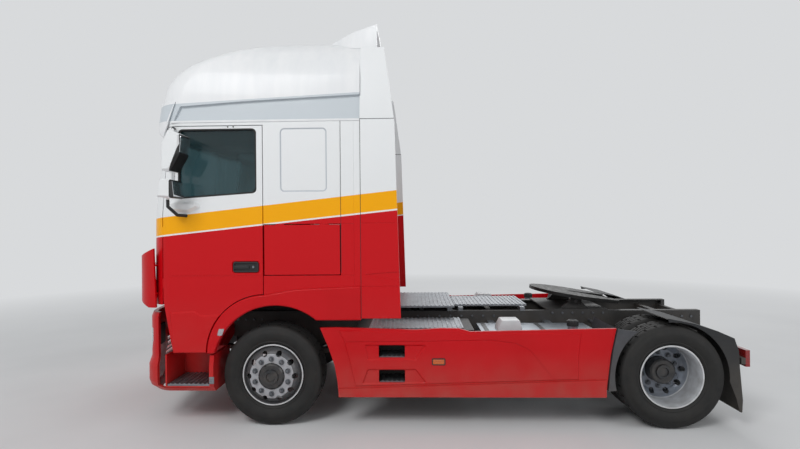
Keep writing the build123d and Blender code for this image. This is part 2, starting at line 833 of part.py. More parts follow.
def bumper():
    """Front bumper: bowed shell with grille and lamp openings, side sills and rear uprights."""
    outer = stack(bumper_sections)
    shell = outer - stack(bumper_sections, bumper_wall, -1, bumper_low - 1)
    wide = half_body + 60
    behind = [(bumper_rear - 10, sill_high)] + from_front([(1040, sill_high), (1100, sill_high + 34)])
    behind += [(front_x + 1100, bumper_high + 10), (bumper_rear - 10, bumper_high + 10)]
    shell = shell - slab(behind, -wide, wide)
    rear_wall = (bumper_rear - 10, bumper_rear + bumper_wall + 1)
    shell = shell - block(rear_wall, (-1130, 1130), (bumper_low - 5, bumper_high))
    for row in range(bumper_slots):
        low = bumper_slot_start + row * bumper_slot_pitch
        high = low + bumper_slot_height
        shell = shell - block((front_x + 1100, nose_x + 5), (-slot_half, slot_half), (low, high))
    for side, lamp in zip((1, -1), both_sides(headlamp_prism())):
        stay = block((rail_front, front_x + 1330), sorted((side * 362, side * 418)), (720, 790))
        upright = block((bumper_rear, bumper_rear + upright_thick), sorted((side * 805, side * half_body)),
                        (bumper_low, well_high))
        shell = shell - lamp + (stay & outer) + (upright & outer)
    return shell


def headlamp_prism():
    """Left headlamp opening round the bumper's corner, its rear edge raked forward below."""
    outline = from_front([(1175, 952), (1175, 830), (1205, 745)]) + [(nose_x + 5, 745), (nose_x + 5, 952)]
    return slab(outline, 830, half_body + 60)


def headlamp():
    """Left headlamp unit in its opening."""
    shell = stack(bumper_sections, 2) - stack(bumper_sections, bumper_wall + 20, -1, bumper_low - 1)
    return shell & headlamp_prism()


def step_well():
    """Left entry step well: floor, back and front walls, hung from the rail."""
    low, plate = sill_high + 2, 15
    profile = [(well_back, low), (well_rim, low), (well_rim, low + plate), (well_back + plate, low + plate),
               (well_back + plate, well_high), (well_back, well_high)]
    well = slab(profile, bumper_rear + upright_thick + 0.3, well_front, "X")
    well = well + block((well_front - plate, well_front), (well_back, well_rim), (low, well_high))
    bracket = [(rail_half, 740), (rail_half, 860), (well_back, 700), (well_back, 600)]
    for x in (front_x + 640, front_x + 780):
        well = well + slab(bracket, x, x + 40, "X")
    return well


def entry_tread():
    """Left ribbed tread on the floor of the entry step well."""
    x = (bumper_rear + upright_thick + 6, well_front - 20)
    return ribbed_plate(x, (well_back + 20, well_rim - 4), sill_high + 17, 20)


def skirt_treads():
    """Ribbed treads in the two steps behind the left skirt."""
    return [ribbed_plate((step_rear + 4, step_front - 4), (step_back + 4, half_body - 50), low, 6)
            for low in step_lows]


def fuel_tank():
    """Left fuel tank: round long edges, two straps, filler neck and rail brackets."""
    inner, outer, low, high = 560, 1180, 330, 891
    tank = round_corners(block((tank_rear, tank_front), (inner, outer), (low, high)), tank_radius, Axis.X)
    proud = strap_proud
    for x in (tank_front - 80, tank_rear + 480):
        band = block((x, x + 40), (inner - proud, outer + proud), (low - proud, high + proud))
        tank = tank + round_corners(band, tank_radius + proud, Axis.X)
    filler = tank_rear + 210
    tank = tank + rod((filler, 980, high - 10), (filler, 980, high + 55), 48)
    for x in (tank_front - 210, tank_rear + 300):
        tank = tank + block((x, x + 70), (rail_half, 640), (440, 880))
    return tank


def battery_box():
    """Left battery and air tank box with the two steps sunk in its side."""
    box = block((box_rear, box_front), (560, box_side), (400, box_top))
    for low in step_lows:
        box = box - block((step_rear - 10, step_front + 10), (step_back, half_body), (low, low + 128))
    return box + block((box_rear + 160, box_front - 220), (rail_half, 562), (740, 900))


def silencer_box():
    """Right exhaust silencer box."""
    box = round_corners(block((box_rear, box_front), (-box_side, -560), (360, box_top)), 60, Axis.X)
    return box + block((box_rear + 160, box_front - 220), (-570, -rail_half), (740, 880))


def side_skirt():
    """Left side skirt: raised main panel, sunk steps, pressed line, lower ledge and standoffs."""
    face = half_body - 12
    base = face - skirt_raise
    inner = face - skirt_thick
    top = [(-478, 961), (-632, 965), (-1400, 940), (-1640, 955), (-1806, 952), (-1915, 922)]
    rear = [(517, 949), (572, 693), (620, skirt_low)]
    front = [(-655, skirt_low), (-643, 440), (-617, 600), (-560, 770)]
    panel = slab(from_front(top) + from_rear(rear) + from_front(front), inner, base)
    raised = from_front([(-645, 948), (-1400, 926), (-1640, 941), (-1800, 939), (-1912, 909)])
    raised += from_rear([(837, 912), (865, 693), (868, 465)])
    raised += from_front([(-812, 400), (-754, 650), (-704, 838)])
    panel = panel + tapered(raised, base - 4, skirt_raise + 4)
    for surround in (
        [(-905, 803), (-1506, 800), (-1396, 653), (-932, 653)],
        [(-931, 571), (-1395, 571), (-1503, 432), (-875, 421)],
    ):
        panel = panel - tapered(from_front(surround), face, -14, 12)
    for low in step_lows:
        high = low + step_high
        hole = [(step_rear, low), (step_front, low), (step_front, high), (step_rear, high)]
        panel = panel - side_cut(hole, 14)
    line = [(-704, 832), (-1398, 836), (-2103, 848), (-2346, 815), (-2480, 748), (-2586, 612), (-2700, 474)]
    cut = from_front(line + [(x + 5, z - 5) for x, z in line[::-1]])
    panel = panel - slab(cut, face - 4, face + 1)
    ledge = from_front([(-655, skirt_low), (-655, 381)]) + from_rear([(616, 466), (620, skirt_low)])
    panel = panel + slab(ledge, base - 5, face + 10)
    # x of each standoff's rear end, y of what it stands on, low height
    standoffs = ((box_front - 120, box_side, 600), (box_rear + 60, box_side, 600), (rear_x + 900, 1180, 560))
    for x, y, low in standoffs:
        panel = panel + block((x, x + 80), (y, inner + 1), (low, low + 100))
    return panel


def catwalk():
    """Ribbed plates: over the left box, across the rails and along the rails."""
    deck = ribbed_plate((box_rear + 100, box_front - 160), (600, box_side - 10), box_top, 16)
    cross = ribbed_plate((front_x - 1816, front_x - 1000), (-540, 540), 1040, 18)
    tail = ribbed_plate((rear_x + 1160, front_x - 1830), (-330, 330), 1022, 18)
    for x in (front_x - 1800, front_x - 1060):
        cross = cross + block((x, x + 50), (-rail_half, rail_half), (rail_top, 1042))
    for x in (rear_x + 1200, front_x - 1920):
        tail = tail + block((x, x + 50), (-rail_half, rail_half), (rail_top, 1024))
    return [deck, cross, tail]


def wheel_point(radius, angle):
    """Point on a circle about the rear axle, seen from the side."""
    return Vector(rear_x + radius * cos(radians(angle)), 0, tyre_radius + radius * sin(radians(angle)))


def mudguard(outer, lip, radius, angles, tube):
    """Left quarter mudguard: sheet along its outer line, cheek round the tyre, tube to the rail."""
    corners = [Vector(x, 0, z) for x, z in from_rear(outer + lip)]
    start, middle, end = (wheel_point(radius, angle) for angle in angles)
    runs = corners + [start]
    edges = [Edge.make_line(a, b) for a, b in zip(runs, runs[1:])]
    edges += [Edge.make_three_point_arc(start, middle, end), Edge.make_line(end, corners[0])]
    guard = slab(edges, guard_outer - 12, guard_outer)
    lean = -8 if outer[-1][0] > 0 else 8
    sheet = outer + [(x + lean, z - 6) for x, z in outer[::-1]]
    guard = guard + slab(from_rear(sheet), rear_inner_y - tyre_width / 2 + 6, guard_outer)
    x, z = rear_x + tube[0], tube[1]
    return guard + rod((x, rail_half, z), (x, guard_outer - 6, z), 16)


def rear_mudguards():
    """Front and rear quarter on each side; the tyres' tops stay bare."""
    front_line = [(508, 947), (550, 756), (578, 576), (600, 361)]
    rear_line = [(43, 1044), (-202, 994), (-411, 925), (-562, 858), (-600, 743), (-608, 589), (-633, 280),
                 (-626, 173)]
    ahead = mudguard(front_line, [], 540, (-13, 20, 53), (500, 880))
    behind = mudguard(rear_line, [(-604, 173), (-575, 300)], 518, (184, 136, 86), (-430, 868))
    return both_sides(ahead) + both_sides(behind)


def rear_lamp():
    """Left rear lamp on the lamp bar."""
    return block((tail_x, tail_x + 40), (900, 1180), (577, 733))


def fifth_wheel_plate():
    """Coupling plate with its throat, kingpin bore and lugs, tipped to the rear as it rests."""
    top = plate_pin_drop
    low = top - plate_thick
    rear = -plate_radius
    plate = slab_round(plate_radius, low, top)
    for side in (-1, 1):
        ramp = [(60, 60), (60, 440), (-150, 440), (rear, 330), (rear - 40, 250), (rear, 170)]
        plate = plate + slab([(x, side * y) for x, y in ramp], low, top, "Z")
    bore = kingpin_bore
    throat = [(0, -bore), (0, bore), (-150, 60), (rear - 60, 190), (rear - 60, -190), (-150, -60)]
    plate = plate - slab(throat, low - 5, top + 5, "Z") - slab_round(bore, low - 5, top + 5)
    plate = Pos(-plate_balance, 0, 0) * plate
    for side in (-1, 1):
        y = sorted((side * 342, side * 376))
        lug = block((-60, 60), y, (-30, low + 2))
        plate = plate + (lug - rod((0, y[0] - 5, 0), (0, y[1] + 5, 0), 18 + running_gap))
    return Pos(plate_x, 0, plate_z - top) * Rot(0, -plate_rest, 0) * plate


def slab_round(radius, low, high):
    """Round plate about the upright axis."""
    return Pos(0, 0, low) * Cylinder(radius, high - low, align=(Align.CENTER, Align.CENTER, Align.MIN))


def fifth_wheel_base():
    """Mounting plate across the rails with a pedestal and pin on each side."""
    base = block((plate_x - 330, plate_x + 330), (-rail_half, rail_half), (rail_top, rail_top + 15))
    pin_z = plate_z - plate_pin_drop
    foot = rail_top + 14
    head = pin_z + 18
    outline = [(plate_x - 150, foot), (plate_x + 150, foot), (plate_x + 34, head), (plate_x - 34, head)]
    for side in (-1, 1):
        y = sorted((side * 296, side * 338))
        base = base + slab(outline, y[0], y[1])
        y = sorted((side * 330, side * 374))
        base = base + rod((plate_x, y[0], pin_z), (plate_x, y[1], pin_z), 18)
    return base


def dashboard():
    """Dashboard with the bulkhead behind it."""
    foot = floor_level + floor_thick
    outline = from_front([(700, 1660), (740, 2000), (960, 2044), (1080, 2040), (1080, foot), (1050, foot),
                          (1050, 1660)])
    dash = slab(outline, -1110, 1110)
    shelf = block((front_x + 1050, nose_x), (-1100, 1100), (2000, 2036))
    return dash + (stack(cab_sections, cab_wall + 6) & shelf)


def steering_wheel():
    """Steering wheel with spokes and its column to the dashboard."""
    rim_section = [(225 + 14 * cos(radians(a)), 14 * sin(radians(a))) for a in range(0, 360, 60)]
    ring = turned(rim_section, (0, 0, 0)).rotate(Axis.X, 90)
    for a in (0, 120, 240):
        ring = ring + rod((0, 0, 0), (222 * cos(radians(a)), 222 * sin(radians(a)), 0), 11)
    ring = ring + rod((0, 0, 20), (0, 0, -60), 55) + rod((0, 0, 0), (0, 0, -330), 30)
    return Pos(front_x + 560, 560, 2150) * Rot(0, -35, 0) * ring - dashboard()


def seat(side):
    """Seat cushion and back as one simple solid."""
    y = side * 600
    profile = [(80, 1780.3), (600, 1800), (600, 1920), (130, 1900), (10, 2640), (-110, 2640), (-10, 1780.3)]
    return slab([(front_x + u, v) for u, v in profile], y - 250, y + 250)


def seat_base(side):
    """Seat stand on the floor."""
    y = side * 600
    tall = floor_level + floor_thick
    return block((front_x + 60, front_x + 520), (y - 110, y + 110), (tall, 1780))


def bunk_box():
    """Box under the bunk, open to the outside locker on each side."""
    box = block((cab_rear + cab_wall, front_x - 250), (-1180, 1180), (tunnel_top, 1800))
    for side in (-1, 1):
        y = sorted((side * 420, side * 1190))
        box = box - block((cab_rear + cab_wall + 40, front_x - 290), y, (tunnel_top + 30, 1770))
    return box


def mattress():
    """Bunk mattress."""
    return block((cab_rear + cab_wall + 4, front_x - 254), (-1174, 1174), (1800.3, 1940))


def mirror_arm(points, radius):
    """Bent tube through the points, with a ball at each bend."""
    at = [(front_x + x, half_body + y, z) for x, y, z in points]
    arm = rod(at[0], at[1], radius)
    for start, end in zip(at[1:], at[2:]):
        arm = arm + rod(start, end, radius) + Pos(*start) * Sphere(radius)
    return arm


def mirror_unit():
    """Left mirrors: main head, wide head below, their arms and the fairing on the door."""
    inner, outer = half_body + 85, half_body + mirror_reach
    main = [(895, 2449), (893, 2696), (826, 2827), (713, 2776), (727, 2595), (812, 2448)]
    wide = [(934, 2211), (913, 2367), (871, 2383), (796, 2366), (780, 2201)]
    unit = pillow(from_front(main), 18, inner, outer, 22) + pillow(from_front(wide), 14, inner, outer, 20)
    unit = unit + mirror_arm([(850, 155, 2370), (850, 155, 2460)], 16)
    unit = unit + mirror_arm([(915, -4, 2886), (895, 60, 2880), (850, 170, 2765)], 14)
    unit = unit + mirror_arm([(905, 155, 2220), (905, 150, 2130), (850, 80, 2052), (800, -4, 2046)], 15)
    unit = unit - block((front_x + 600, front_x + 1000), (half_body - 40, half_body), (2000, 2940))
    fairing = from_front([(961, 2187), (685, 2184), (660, 2124), (764, 2074), (937, 2084)])
    return [unit, tapered(fairing, half_body, 42, 12, 35)]


skin = cab_layer(0, cab_wall)
screen = cab_layer(18, 26) & windscreen_prism(0)
front_tyres, front_metal = kept_wheel(front_x, (front_tyre_y,), front_disc_y, disc_bow, None, hub_front_inner,
                                      hub_front_cap)
rear_tyres, rear_metal = kept_wheel(rear_x, (rear_outer_y, rear_inner_y), rear_disc_y, -disc_bow,
                                    rear_disc_y - disc_plate, hub_rear_inner, hub_rear_cap)
shaft = rod((front_x - 1355, 0, 700), (rear_x + 395, 0, tyre_radius + 20), 50)

nodes = {
    "chassis_frame": [chassis_frame()],
    "engine_block": [engine()],
    "gearbox": [gearbox()],
    "propeller_shaft": [shaft],
    "radiator": [radiator()],
    "front_axle_beam": [front_axle()],
    "front_springs": both_sides(front_spring()),
    "rear_axle": [rear_axle()],
    "rear_air_springs": air_springs(),
    "bumper": [bumper()],
    "lamps": both_sides(headlamp()) + both_sides(rear_lamp()),
    "step_wells": both_sides(step_well()),
    "step_treads": both_sides(entry_tread()) + skirt_treads(),
    "fuel_tanks": both_sides(fuel_tank()),
    "battery_box": [battery_box()],
    "silencer_box": [silencer_box()],
    "side_skirts": both_sides(side_skirt()),
    "catwalk": catwalk(),
    "rear_mudguards": rear_mudguards(),
    "fifth_wheel_base": [fifth_wheel_base()],
    "fifth_wheel_plate": [fifth_wheel_plate()],
    "cab_floor": [cab_floor()],
    "cab_sides": both_sides(cab_side(skin)),
    "cab_rear_wall": [cab_back(skin)],
    "cab_front_frame": [cab_front(skin)],
    "cab_roof": [cab_roof()],
    "roof_spoiler": [roof_spoiler()],
    "sun_visor": [sun_visor()],
    "windscreen": [screen],
    "corner_deflectors": both_sides(corner_deflector()),
    "wheel_flares": both_sides(wheel_flare()),
    "side_collars": both_sides(side_collar()),
    "dashboard": [dashboard()],
    "steering_wheel": [steering_wheel()],
    "seats": [seat(1), seat(-1)],
    "bunk_box": [bunk_box()],
    "bunk_mattress": [mattress()],
    "front_lid": [front_lid(skin)],
}
left_pieces = {
    "door": [cab_door(skin)],
    "door_glass": [door_glass()],
    "mirror": mirror_unit(),
    "locker_lid": [locker_lid(skin)],
    "knuckle": [knuckle()],
    "rim_front": [front_metal],
    "rim_rear": [rear_metal],
    "tyre_front": front_tyres,
    "tyre_rear": rear_tyres,
}
for name, pieces in left_pieces.items():
    nodes[name + "_left"] = pieces
    nodes[name + "_right"] = [mirror(item, Plane.XZ) for item in pieces]
os.makedirs("parts", exist_ok=True)
for name, pieces in nodes.items():
    solids = [solid for piece in pieces for solid in piece.solids()]
    export_step(solids[0] if len(solids) == 1 else Compound(solids), os.path.join("parts", name + ".step"))
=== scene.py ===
import bpy
import bmesh
import json
import math
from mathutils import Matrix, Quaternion, Vector
from mathutils.bvhtree import BVHTree

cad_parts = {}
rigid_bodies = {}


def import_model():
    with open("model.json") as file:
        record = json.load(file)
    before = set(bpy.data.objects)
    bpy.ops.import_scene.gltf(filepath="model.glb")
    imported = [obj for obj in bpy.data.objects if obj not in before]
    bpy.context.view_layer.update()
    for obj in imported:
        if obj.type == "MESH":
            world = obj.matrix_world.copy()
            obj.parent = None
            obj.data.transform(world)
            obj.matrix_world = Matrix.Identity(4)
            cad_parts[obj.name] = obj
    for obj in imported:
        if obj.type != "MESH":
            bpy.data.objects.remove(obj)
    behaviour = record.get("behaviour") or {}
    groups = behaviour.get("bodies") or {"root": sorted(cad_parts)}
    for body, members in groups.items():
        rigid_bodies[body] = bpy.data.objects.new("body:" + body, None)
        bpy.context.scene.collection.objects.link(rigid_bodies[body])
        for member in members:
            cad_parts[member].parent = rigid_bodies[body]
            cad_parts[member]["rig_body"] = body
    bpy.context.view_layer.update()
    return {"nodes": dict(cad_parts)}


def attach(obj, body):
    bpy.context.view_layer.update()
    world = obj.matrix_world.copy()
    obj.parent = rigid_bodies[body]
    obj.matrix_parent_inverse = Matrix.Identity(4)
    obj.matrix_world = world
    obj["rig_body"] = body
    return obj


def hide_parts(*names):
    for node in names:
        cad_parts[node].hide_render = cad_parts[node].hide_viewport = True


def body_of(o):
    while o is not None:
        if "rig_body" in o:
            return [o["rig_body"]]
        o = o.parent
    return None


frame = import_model()
print("frame loaded:", len(frame["nodes"]), "nodes")

frontAxle = 1.58  # x of the front axle, metres
rearAxle = -2.22
axleHeight = 0.49
halfBody = 1.245
sides = (("left", 1), ("right", -1))  # each side's name, and its sign along y
sideways = (math.pi / 2, 0, 0)  # turn that lays a cylinder along y


def srgb(code):
    values = [int(code[i:i + 2], 16) / 255 for i in (1, 3, 5)]
    return [v / 12.92 if v <= 0.04045 else ((v + 0.055) / 1.055) ** 2.4 for v in values] + [1]


def addNode(tree, kind, settings=None, links=None):
    # adds a node with its settings and links, and gives its outputs
    node = tree.nodes.new("ShaderNode" + kind)
    for key, value in (settings or {}).items():
        if isinstance(key, int) or key in node.inputs:
            node.inputs[key].default_value = value
        else:
            setattr(node, key, value)
    for key, source in (links or {}).items():
        tree.links.new(source, node.inputs[key])
    return node.outputs


def startMaterial(name, sockets):
    material = bpy.data.materials.new(name)
    material.use_nodes = True
    tree = material.node_tree
    shader = tree.nodes["Principled BSDF"]
    for key, value in sockets.items():
        shader.inputs[key].default_value = value
    place = addNode(tree, "TexCoord")["Object"]
    return material, tree, shader, place


def feed(tree, shader, sources):
    for key, source in sources.items():
        tree.links.new(source, shader.inputs[key])


def mottle(tree, place, size, low, high, detail=3):
    # soft patches of a real size, mapped between two values
    noise = addNode(tree, "TexNoise", {"Scale": 1 / size, "Detail": detail}, {"Vector": place})
    spread = {"From Min": 0.3, "From Max": 0.7, "To Min": low, "To Max": high}
    return addNode(tree, "MapRange", spread, {"Value": noise["Fac"]})["Result"]


def twoTone(tree, mask, dark, light):
    return addNode(tree, "MixRGB", {"Color1": srgb(dark), "Color2": srgb(light)}, {"Fac": mask})["Color"]


def paintOver(tree, base, mask, tint):
    return addNode(tree, "MixRGB", {"Color2": srgb(tint)}, {"Fac": mask, "Color1": base})["Color"]


def allOf(tree, *masks):
    # 1 only where every mask is 1
    joint = masks[0]
    for mask in masks[1:]:
        joint = addNode(tree, "Math", {"operation": "MULTIPLY"}, {0: joint, 1: mask})["Value"]
    return joint


def between(tree, value, low=None, high=None):
    # 1 where a value lies between two edges and 0 elsewhere; an edge left out is open
    tests = (("GREATER_THAN", low), ("LESS_THAN", high))
    return allOf(tree, *[addNode(tree, "Math", {"operation": test, 1: edge}, {0: value})["Value"]
                         for test, edge in tests if edge is not None])


def axesOf(tree, place):
    # x, distance from the vehicle's middle plane, and height
    axes = addNode(tree, "SeparateXYZ", None, {"Vector": place})
    side = addNode(tree, "Math", {"operation": "ABSOLUTE"}, {0: axes["Y"]})["Value"]
    return axes["X"], side, axes["Z"]


def addDust(tree, shader, place, colour, top, strength):
    # road dust that is thickest near the ground and broken up by soft patches
    height = axesOf(tree, place)[2]
    spread = {"From Min": top, "From Max": 0.3, "To Min": 0, "To Max": strength}
    fade = addNode(tree, "MapRange", spread, {"Value": height})["Result"]
    mask = allOf(tree, fade, mottle(tree, place, 0.18, 0.45, 1.0, 5))
    feed(tree, shader, {"Base Color": paintOver(tree, colour, mask, "#8A7E70")})


def addBump(tree, shader, height, strength, distance):
    bump = addNode(tree, "Bump", {"Strength": strength, "Distance": distance}, {"Height": height})
    feed(tree, shader, {"Normal": bump["Normal"]})


# Automotive enamel under a clear coat: deep gloss with a faint orange peel
enamel = {
    "sockets": {"Roughness": 0.38, "Coat Weight": 0.12, "Coat Roughness": 0.08, "IOR": 1.5,
                "Specular IOR Level": 0.2},
    "peel": 0.012,  # real peel is about 3 mm, drawn coarser so that it shows
}


def enamelSurface(tree, shader, place):
    peel = addNode(tree, "TexNoise", {"Scale": 1 / enamel["peel"], "Detail": 1}, {"Vector": place})
    addBump(tree, shader, peel["Fac"], 0.05, 0.001)
    feed(tree, shader, {"Roughness": mottle(tree, place, 0.35, 0.28, 0.42)})


stripe = {  # lines on the cab's side: height at the front axle and fall per metre of x
    "red": "#CB0512", "yellow": "#FBAE00", "white": "#ECEEEF",
    "topHeight": 2.1429, "topFall": 0.10572,
    "lowHeight": 1.9695, "lowFall": 0.10338,
    "pinHeight": 1.9545,
}
panelSeams = {  # shadow lines between the side panels: x from the front axle, lowest height
    "lockerPost": (-0.6905, 1.49), "collar": (-0.8785, 1.03),
}
seam = {"half": 0.0025, "top": 2.962, "outside": 1.15, "tint": "#2B2C2F"}  # outside: y of an outer face
collarJoint = {"low": 2.953, "high": 2.959, "rear": frontAxle - 1.4, "front": frontAxle - 0.8785}
# painted shadow round the pressed side panel: its place, half sizes and corner, and the grey ring's reach and
# tint
pressed = {
    "x": frontAxle - 0.335, "z": 2.572, "halfX": 0.183, "halfZ": 0.263, "round": 0.040,
    "inwards": 0.011, "outwards": 0.003, "tint": "#C4C9CF", "anyY": 9,  # past every y, so that y never counts
}


def seamsOver(tree, place, colour):
    # dark joint lines on the outer faces
    x, side, z = axesOf(tree, place)
    outer = between(tree, side, seam["outside"])
    for offset, low in panelSeams.values():
        middle = frontAxle + offset
        line = between(tree, x, middle - seam["half"], middle + seam["half"])
        line = allOf(tree, line, outer, between(tree, z, low, seam["top"]))
        colour = paintOver(tree, colour, line, seam["tint"])
    level = between(tree, z, collarJoint["low"], collarJoint["high"])
    level = allOf(tree, level, between(tree, x, collarJoint["rear"], collarJoint["front"]), outer)
    return paintOver(tree, colour, level, seam["tint"])


def pressedGrooveShade(tree, place, colour):
    # painted shadow: soft grey ring in the groove round the pressed side panel
    flat = place
    steps = (("SUBTRACT", (pressed["x"], 0, pressed["z"])), ("ABSOLUTE", (0, 0, 0)),
             ("SUBTRACT", (pressed["halfX"], pressed["anyY"], pressed["halfZ"])), ("MAXIMUM", (0, 0, 0)))
    for operation, value in steps:
        flat = addNode(tree, "VectorMath", {"operation": operation, 1: value}, {0: flat})["Vector"]
    reach = addNode(tree, "VectorMath", {"operation": "LENGTH"}, {0: flat})["Value"]
    ring = between(tree, reach, pressed["round"] - pressed["inwards"], pressed["round"] + pressed["outwards"])
    side = axesOf(tree, place)[1]
    return paintOver(tree, colour, allOf(tree, ring, between(tree, side, seam["outside"])), pressed["tint"])


def stripedEnamel():
    # cab paint: white over a yellow band over a thin white line over red
    material, tree, shader, place = startMaterial("stripedCabEnamel", enamel["sockets"])
    enamelSurface(tree, shader, place)
    colour = addNode(tree, "RGB")["Color"]
    colour.default_value = srgb(stripe["red"])
    layers = (("pinHeight", "lowFall", "white"), ("lowHeight", "lowFall", "yellow"),
              ("topHeight", "topFall", "white"))
    for height, fall, tint in layers:
        slope = {"operation": "DOT_PRODUCT", 1: (stripe[fall], 0, 1)}
        level = addNode(tree, "VectorMath", slope, {0: place})["Value"]
        mask = between(tree, level, stripe[height] + stripe[fall] * frontAxle)
        colour = paintOver(tree, colour, mask, stripe[tint])
    # dark joint lines, over the painted shadow round the pressed panel
    colour = seamsOver(tree, place, pressedGrooveShade(tree, place, colour))
    addDust(tree, shader, place, colour, 1.3, 0.12)
    return material


roofRecessShade = {  # painted shade: the sunk band along the roof's side is painted pale grey, for the shadow that the overhanging upper roof casts into it
    "low": 2.961, "high": 3.25, "fall": 0.0486, "face": halfBody - 0.008, "depth": 1.0, "tint": "#C9D0D5",
}


def redEnamel():
    # plain red panels: skirts, bumper, flares and deflectors
    material, tree, shader, place = startMaterial("redPanelEnamel", enamel["sockets"])
    enamelSurface(tree, shader, place)
    colour = twoTone(tree, mottle(tree, place, 0.6, 0, 1), "#C3040F", "#CC0614")
    addDust(tree, shader, place, seamsOver(tree, place, colour), 0.75, 0.3)
    return material


def whiteEnamel():
    # white roof parts with painted shade in pale grey on the sunk side band, a little darker where rain has
    # dried
    material, tree, shader, place = startMaterial("whiteRoofEnamel", enamel["sockets"])
    enamelSurface(tree, shader, place)
    streaks = addNode(tree, "Mapping", {"Scale": (9, 9, 0.7)}, {"Vector": place})["Vector"]
    colour = twoTone(tree, mottle(tree, streaks, 1.0, 0, 1, 4), "#E6E8EA", "#EEEFF0")
    side, height = axesOf(tree, place)[1:]
    slope = {"operation": "DOT_PRODUCT", 1: (roofRecessShade["fall"], 0, 1)}
    level = addNode(tree, "VectorMath", slope, {0: place})["Value"]
    # painted shade: pale grey over the faces of the sunk band
    shadedBand = allOf(tree, between(tree, side, roofRecessShade["depth"], roofRecessShade["face"]),
                 between(tree, level, None, roofRecessShade["high"]), between(tree, height, roofRecessShade["low"]))
    feed(tree, shader, {"Base Color": paintOver(tree, colour, shadedBand, roofRecessShade["tint"])})
    return material


def chassisPaint():
    # sprayed chassis paint, satin grey, dusty and chipped to rust in spots
    material, tree, shader, place = startMaterial("satinChassisPaint", {"Roughness": 0.55, "IOR": 1.5})
    base = twoTone(tree, mottle(tree, place, 0.12, 0, 1, 5), "#1D1F21", "#2B2D30")
    chips = addNode(tree, "TexNoise", {"Scale": 55, "Detail": 6, "Roughness": 0.7}, {"Vector": place})
    mask = addNode(tree, "MapRange", {"From Min": 0.68, "From Max": 0.72}, {"Value": chips["Fac"]})
    addDust(tree, shader, place, paintOver(tree, base, mask["Result"], "#6B3A22"), 1.2, 0.45)
    addBump(tree, shader, mottle(tree, place, 0.01, 0, 1), 0.15, 0.001)
    return material


def castIron():
    # painted castings: coarse sand-cast skin with oily dust
    material, tree, shader, place = startMaterial("paintedCastIron", {"Roughness": 0.6, "IOR": 1.5})
    base = twoTone(tree, mottle(tree, place, 0.05, 0, 1, 6), "#232426", "#3A3A39")
    addDust(tree, shader, place, base, 1.0, 0.4)
    grain = addNode(tree, "TexNoise", {"Scale": 220, "Detail": 3}, {"Vector": place})
    addBump(tree, shader, grain["Fac"], 0.5, 0.002)
    return material


def milledAluminium():
    # mill-finish aluminium plates: pale grey metal, scuffed by boots
    sockets = {"Metallic": 0.85, "Roughness": 0.42}
    material, tree, shader, place = startMaterial("millFinishAluminium", sockets)
    scuffs = addNode(tree, "Mapping", {"Scale": (3, 24, 24)}, {"Vector": place})["Vector"]
    tint = mottle(tree, scuffs, 0.35, 0, 1, 6)
    feed(tree, shader, {"Base Color": twoTone(tree, tint, "#74787D", "#9A9EA3"),
                        "Roughness": mottle(tree, place, 0.04, 0.34, 0.55, 5)})
    addBump(tree, shader, tint, 0.08, 0.001)
    return material


tankStraps = {"rear": (frontAxle - 2.120, frontAxle - 2.680), "wide": 0.04, "lap": 0.001}  # rubber-faced


def tankAluminium():
    # rolled tank sheet: brushed along its length, its grey darkened to the tank's tone in shade, which is
    # painted shade
    sockets = {"Metallic": 0.8, "Roughness": 0.38}
    material, tree, shader, place = startMaterial("brushedTankAluminium", sockets)
    brush = addNode(tree, "Mapping", {"Scale": (2, 160, 160)}, {"Vector": place})["Vector"]
    lines = mottle(tree, brush, 0.6, 0, 1, 2)
    x = axesOf(tree, place)[0]
    # painted shade: both greys are darker than the bare sheet, at the tank's tone in shadow
    colour = twoTone(tree, lines, "#7F868D", "#9DA4AB")
    for rear in tankStraps["rear"]:
        strap = between(tree, x, rear - tankStraps["lap"], rear + tankStraps["wide"] + tankStraps["lap"])
        colour = paintOver(tree, colour, strap, "#2A2C2F")
    addDust(tree, shader, place, colour, 0.8, 0.3)
    addBump(tree, shader, lines, 0.04, 0.0006)
    return material


def moulded(name, dark, light, roughness, grain, dustTop=0, dust=0.0):
    # injection-moulded plastic with its leather-like grain
    material, tree, shader, place = startMaterial(name, {"Roughness": roughness, "IOR": 1.47})
    colour = twoTone(tree, mottle(tree, place, 0.09, 0, 1, 4), dark, light)
    feed(tree, shader, {"Base Color": colour})
    if dust:
        addDust(tree, shader, place, colour, dustTop, dust)
    cells = addNode(tree, "TexVoronoi", {"Scale": 1 / grain}, {"Vector": place})
    addBump(tree, shader, cells["Distance"], 0.25, 0.0008)
    return material


def tyreRubber():
    # carbon-black rubber: matt, a little brown where road dust sits
    material, tree, shader, place = startMaterial("tyreRubber", {"Roughness": 0.72, "IOR": 1.52})
    base = twoTone(tree, mottle(tree, place, 0.05, 0, 1, 5), "#0B0B0B", "#131312")
    dusty = paintOver(tree, base, mottle(tree, place, 0.11, 0, 0.1, 5), "#4A433C")
    feed(tree, shader, {"Base Color": dusty})
    addBump(tree, shader, mottle(tree, place, 0.006, 0, 1, 4), 0.2, 0.001)
    return material


wheelRings = {  # radii where the paint changes, and the ring of nuts between two of them; the bright outer lip is a painted highlight
    "hub": "#202327", "hubLight": "#2A2D31", "hubRadius": 0.127, "nut": "#45484C", "nutInner": 0.144,
    "nutOuter": 0.191, "lip": "#D9DADC", "lipRadius": 0.286,
}


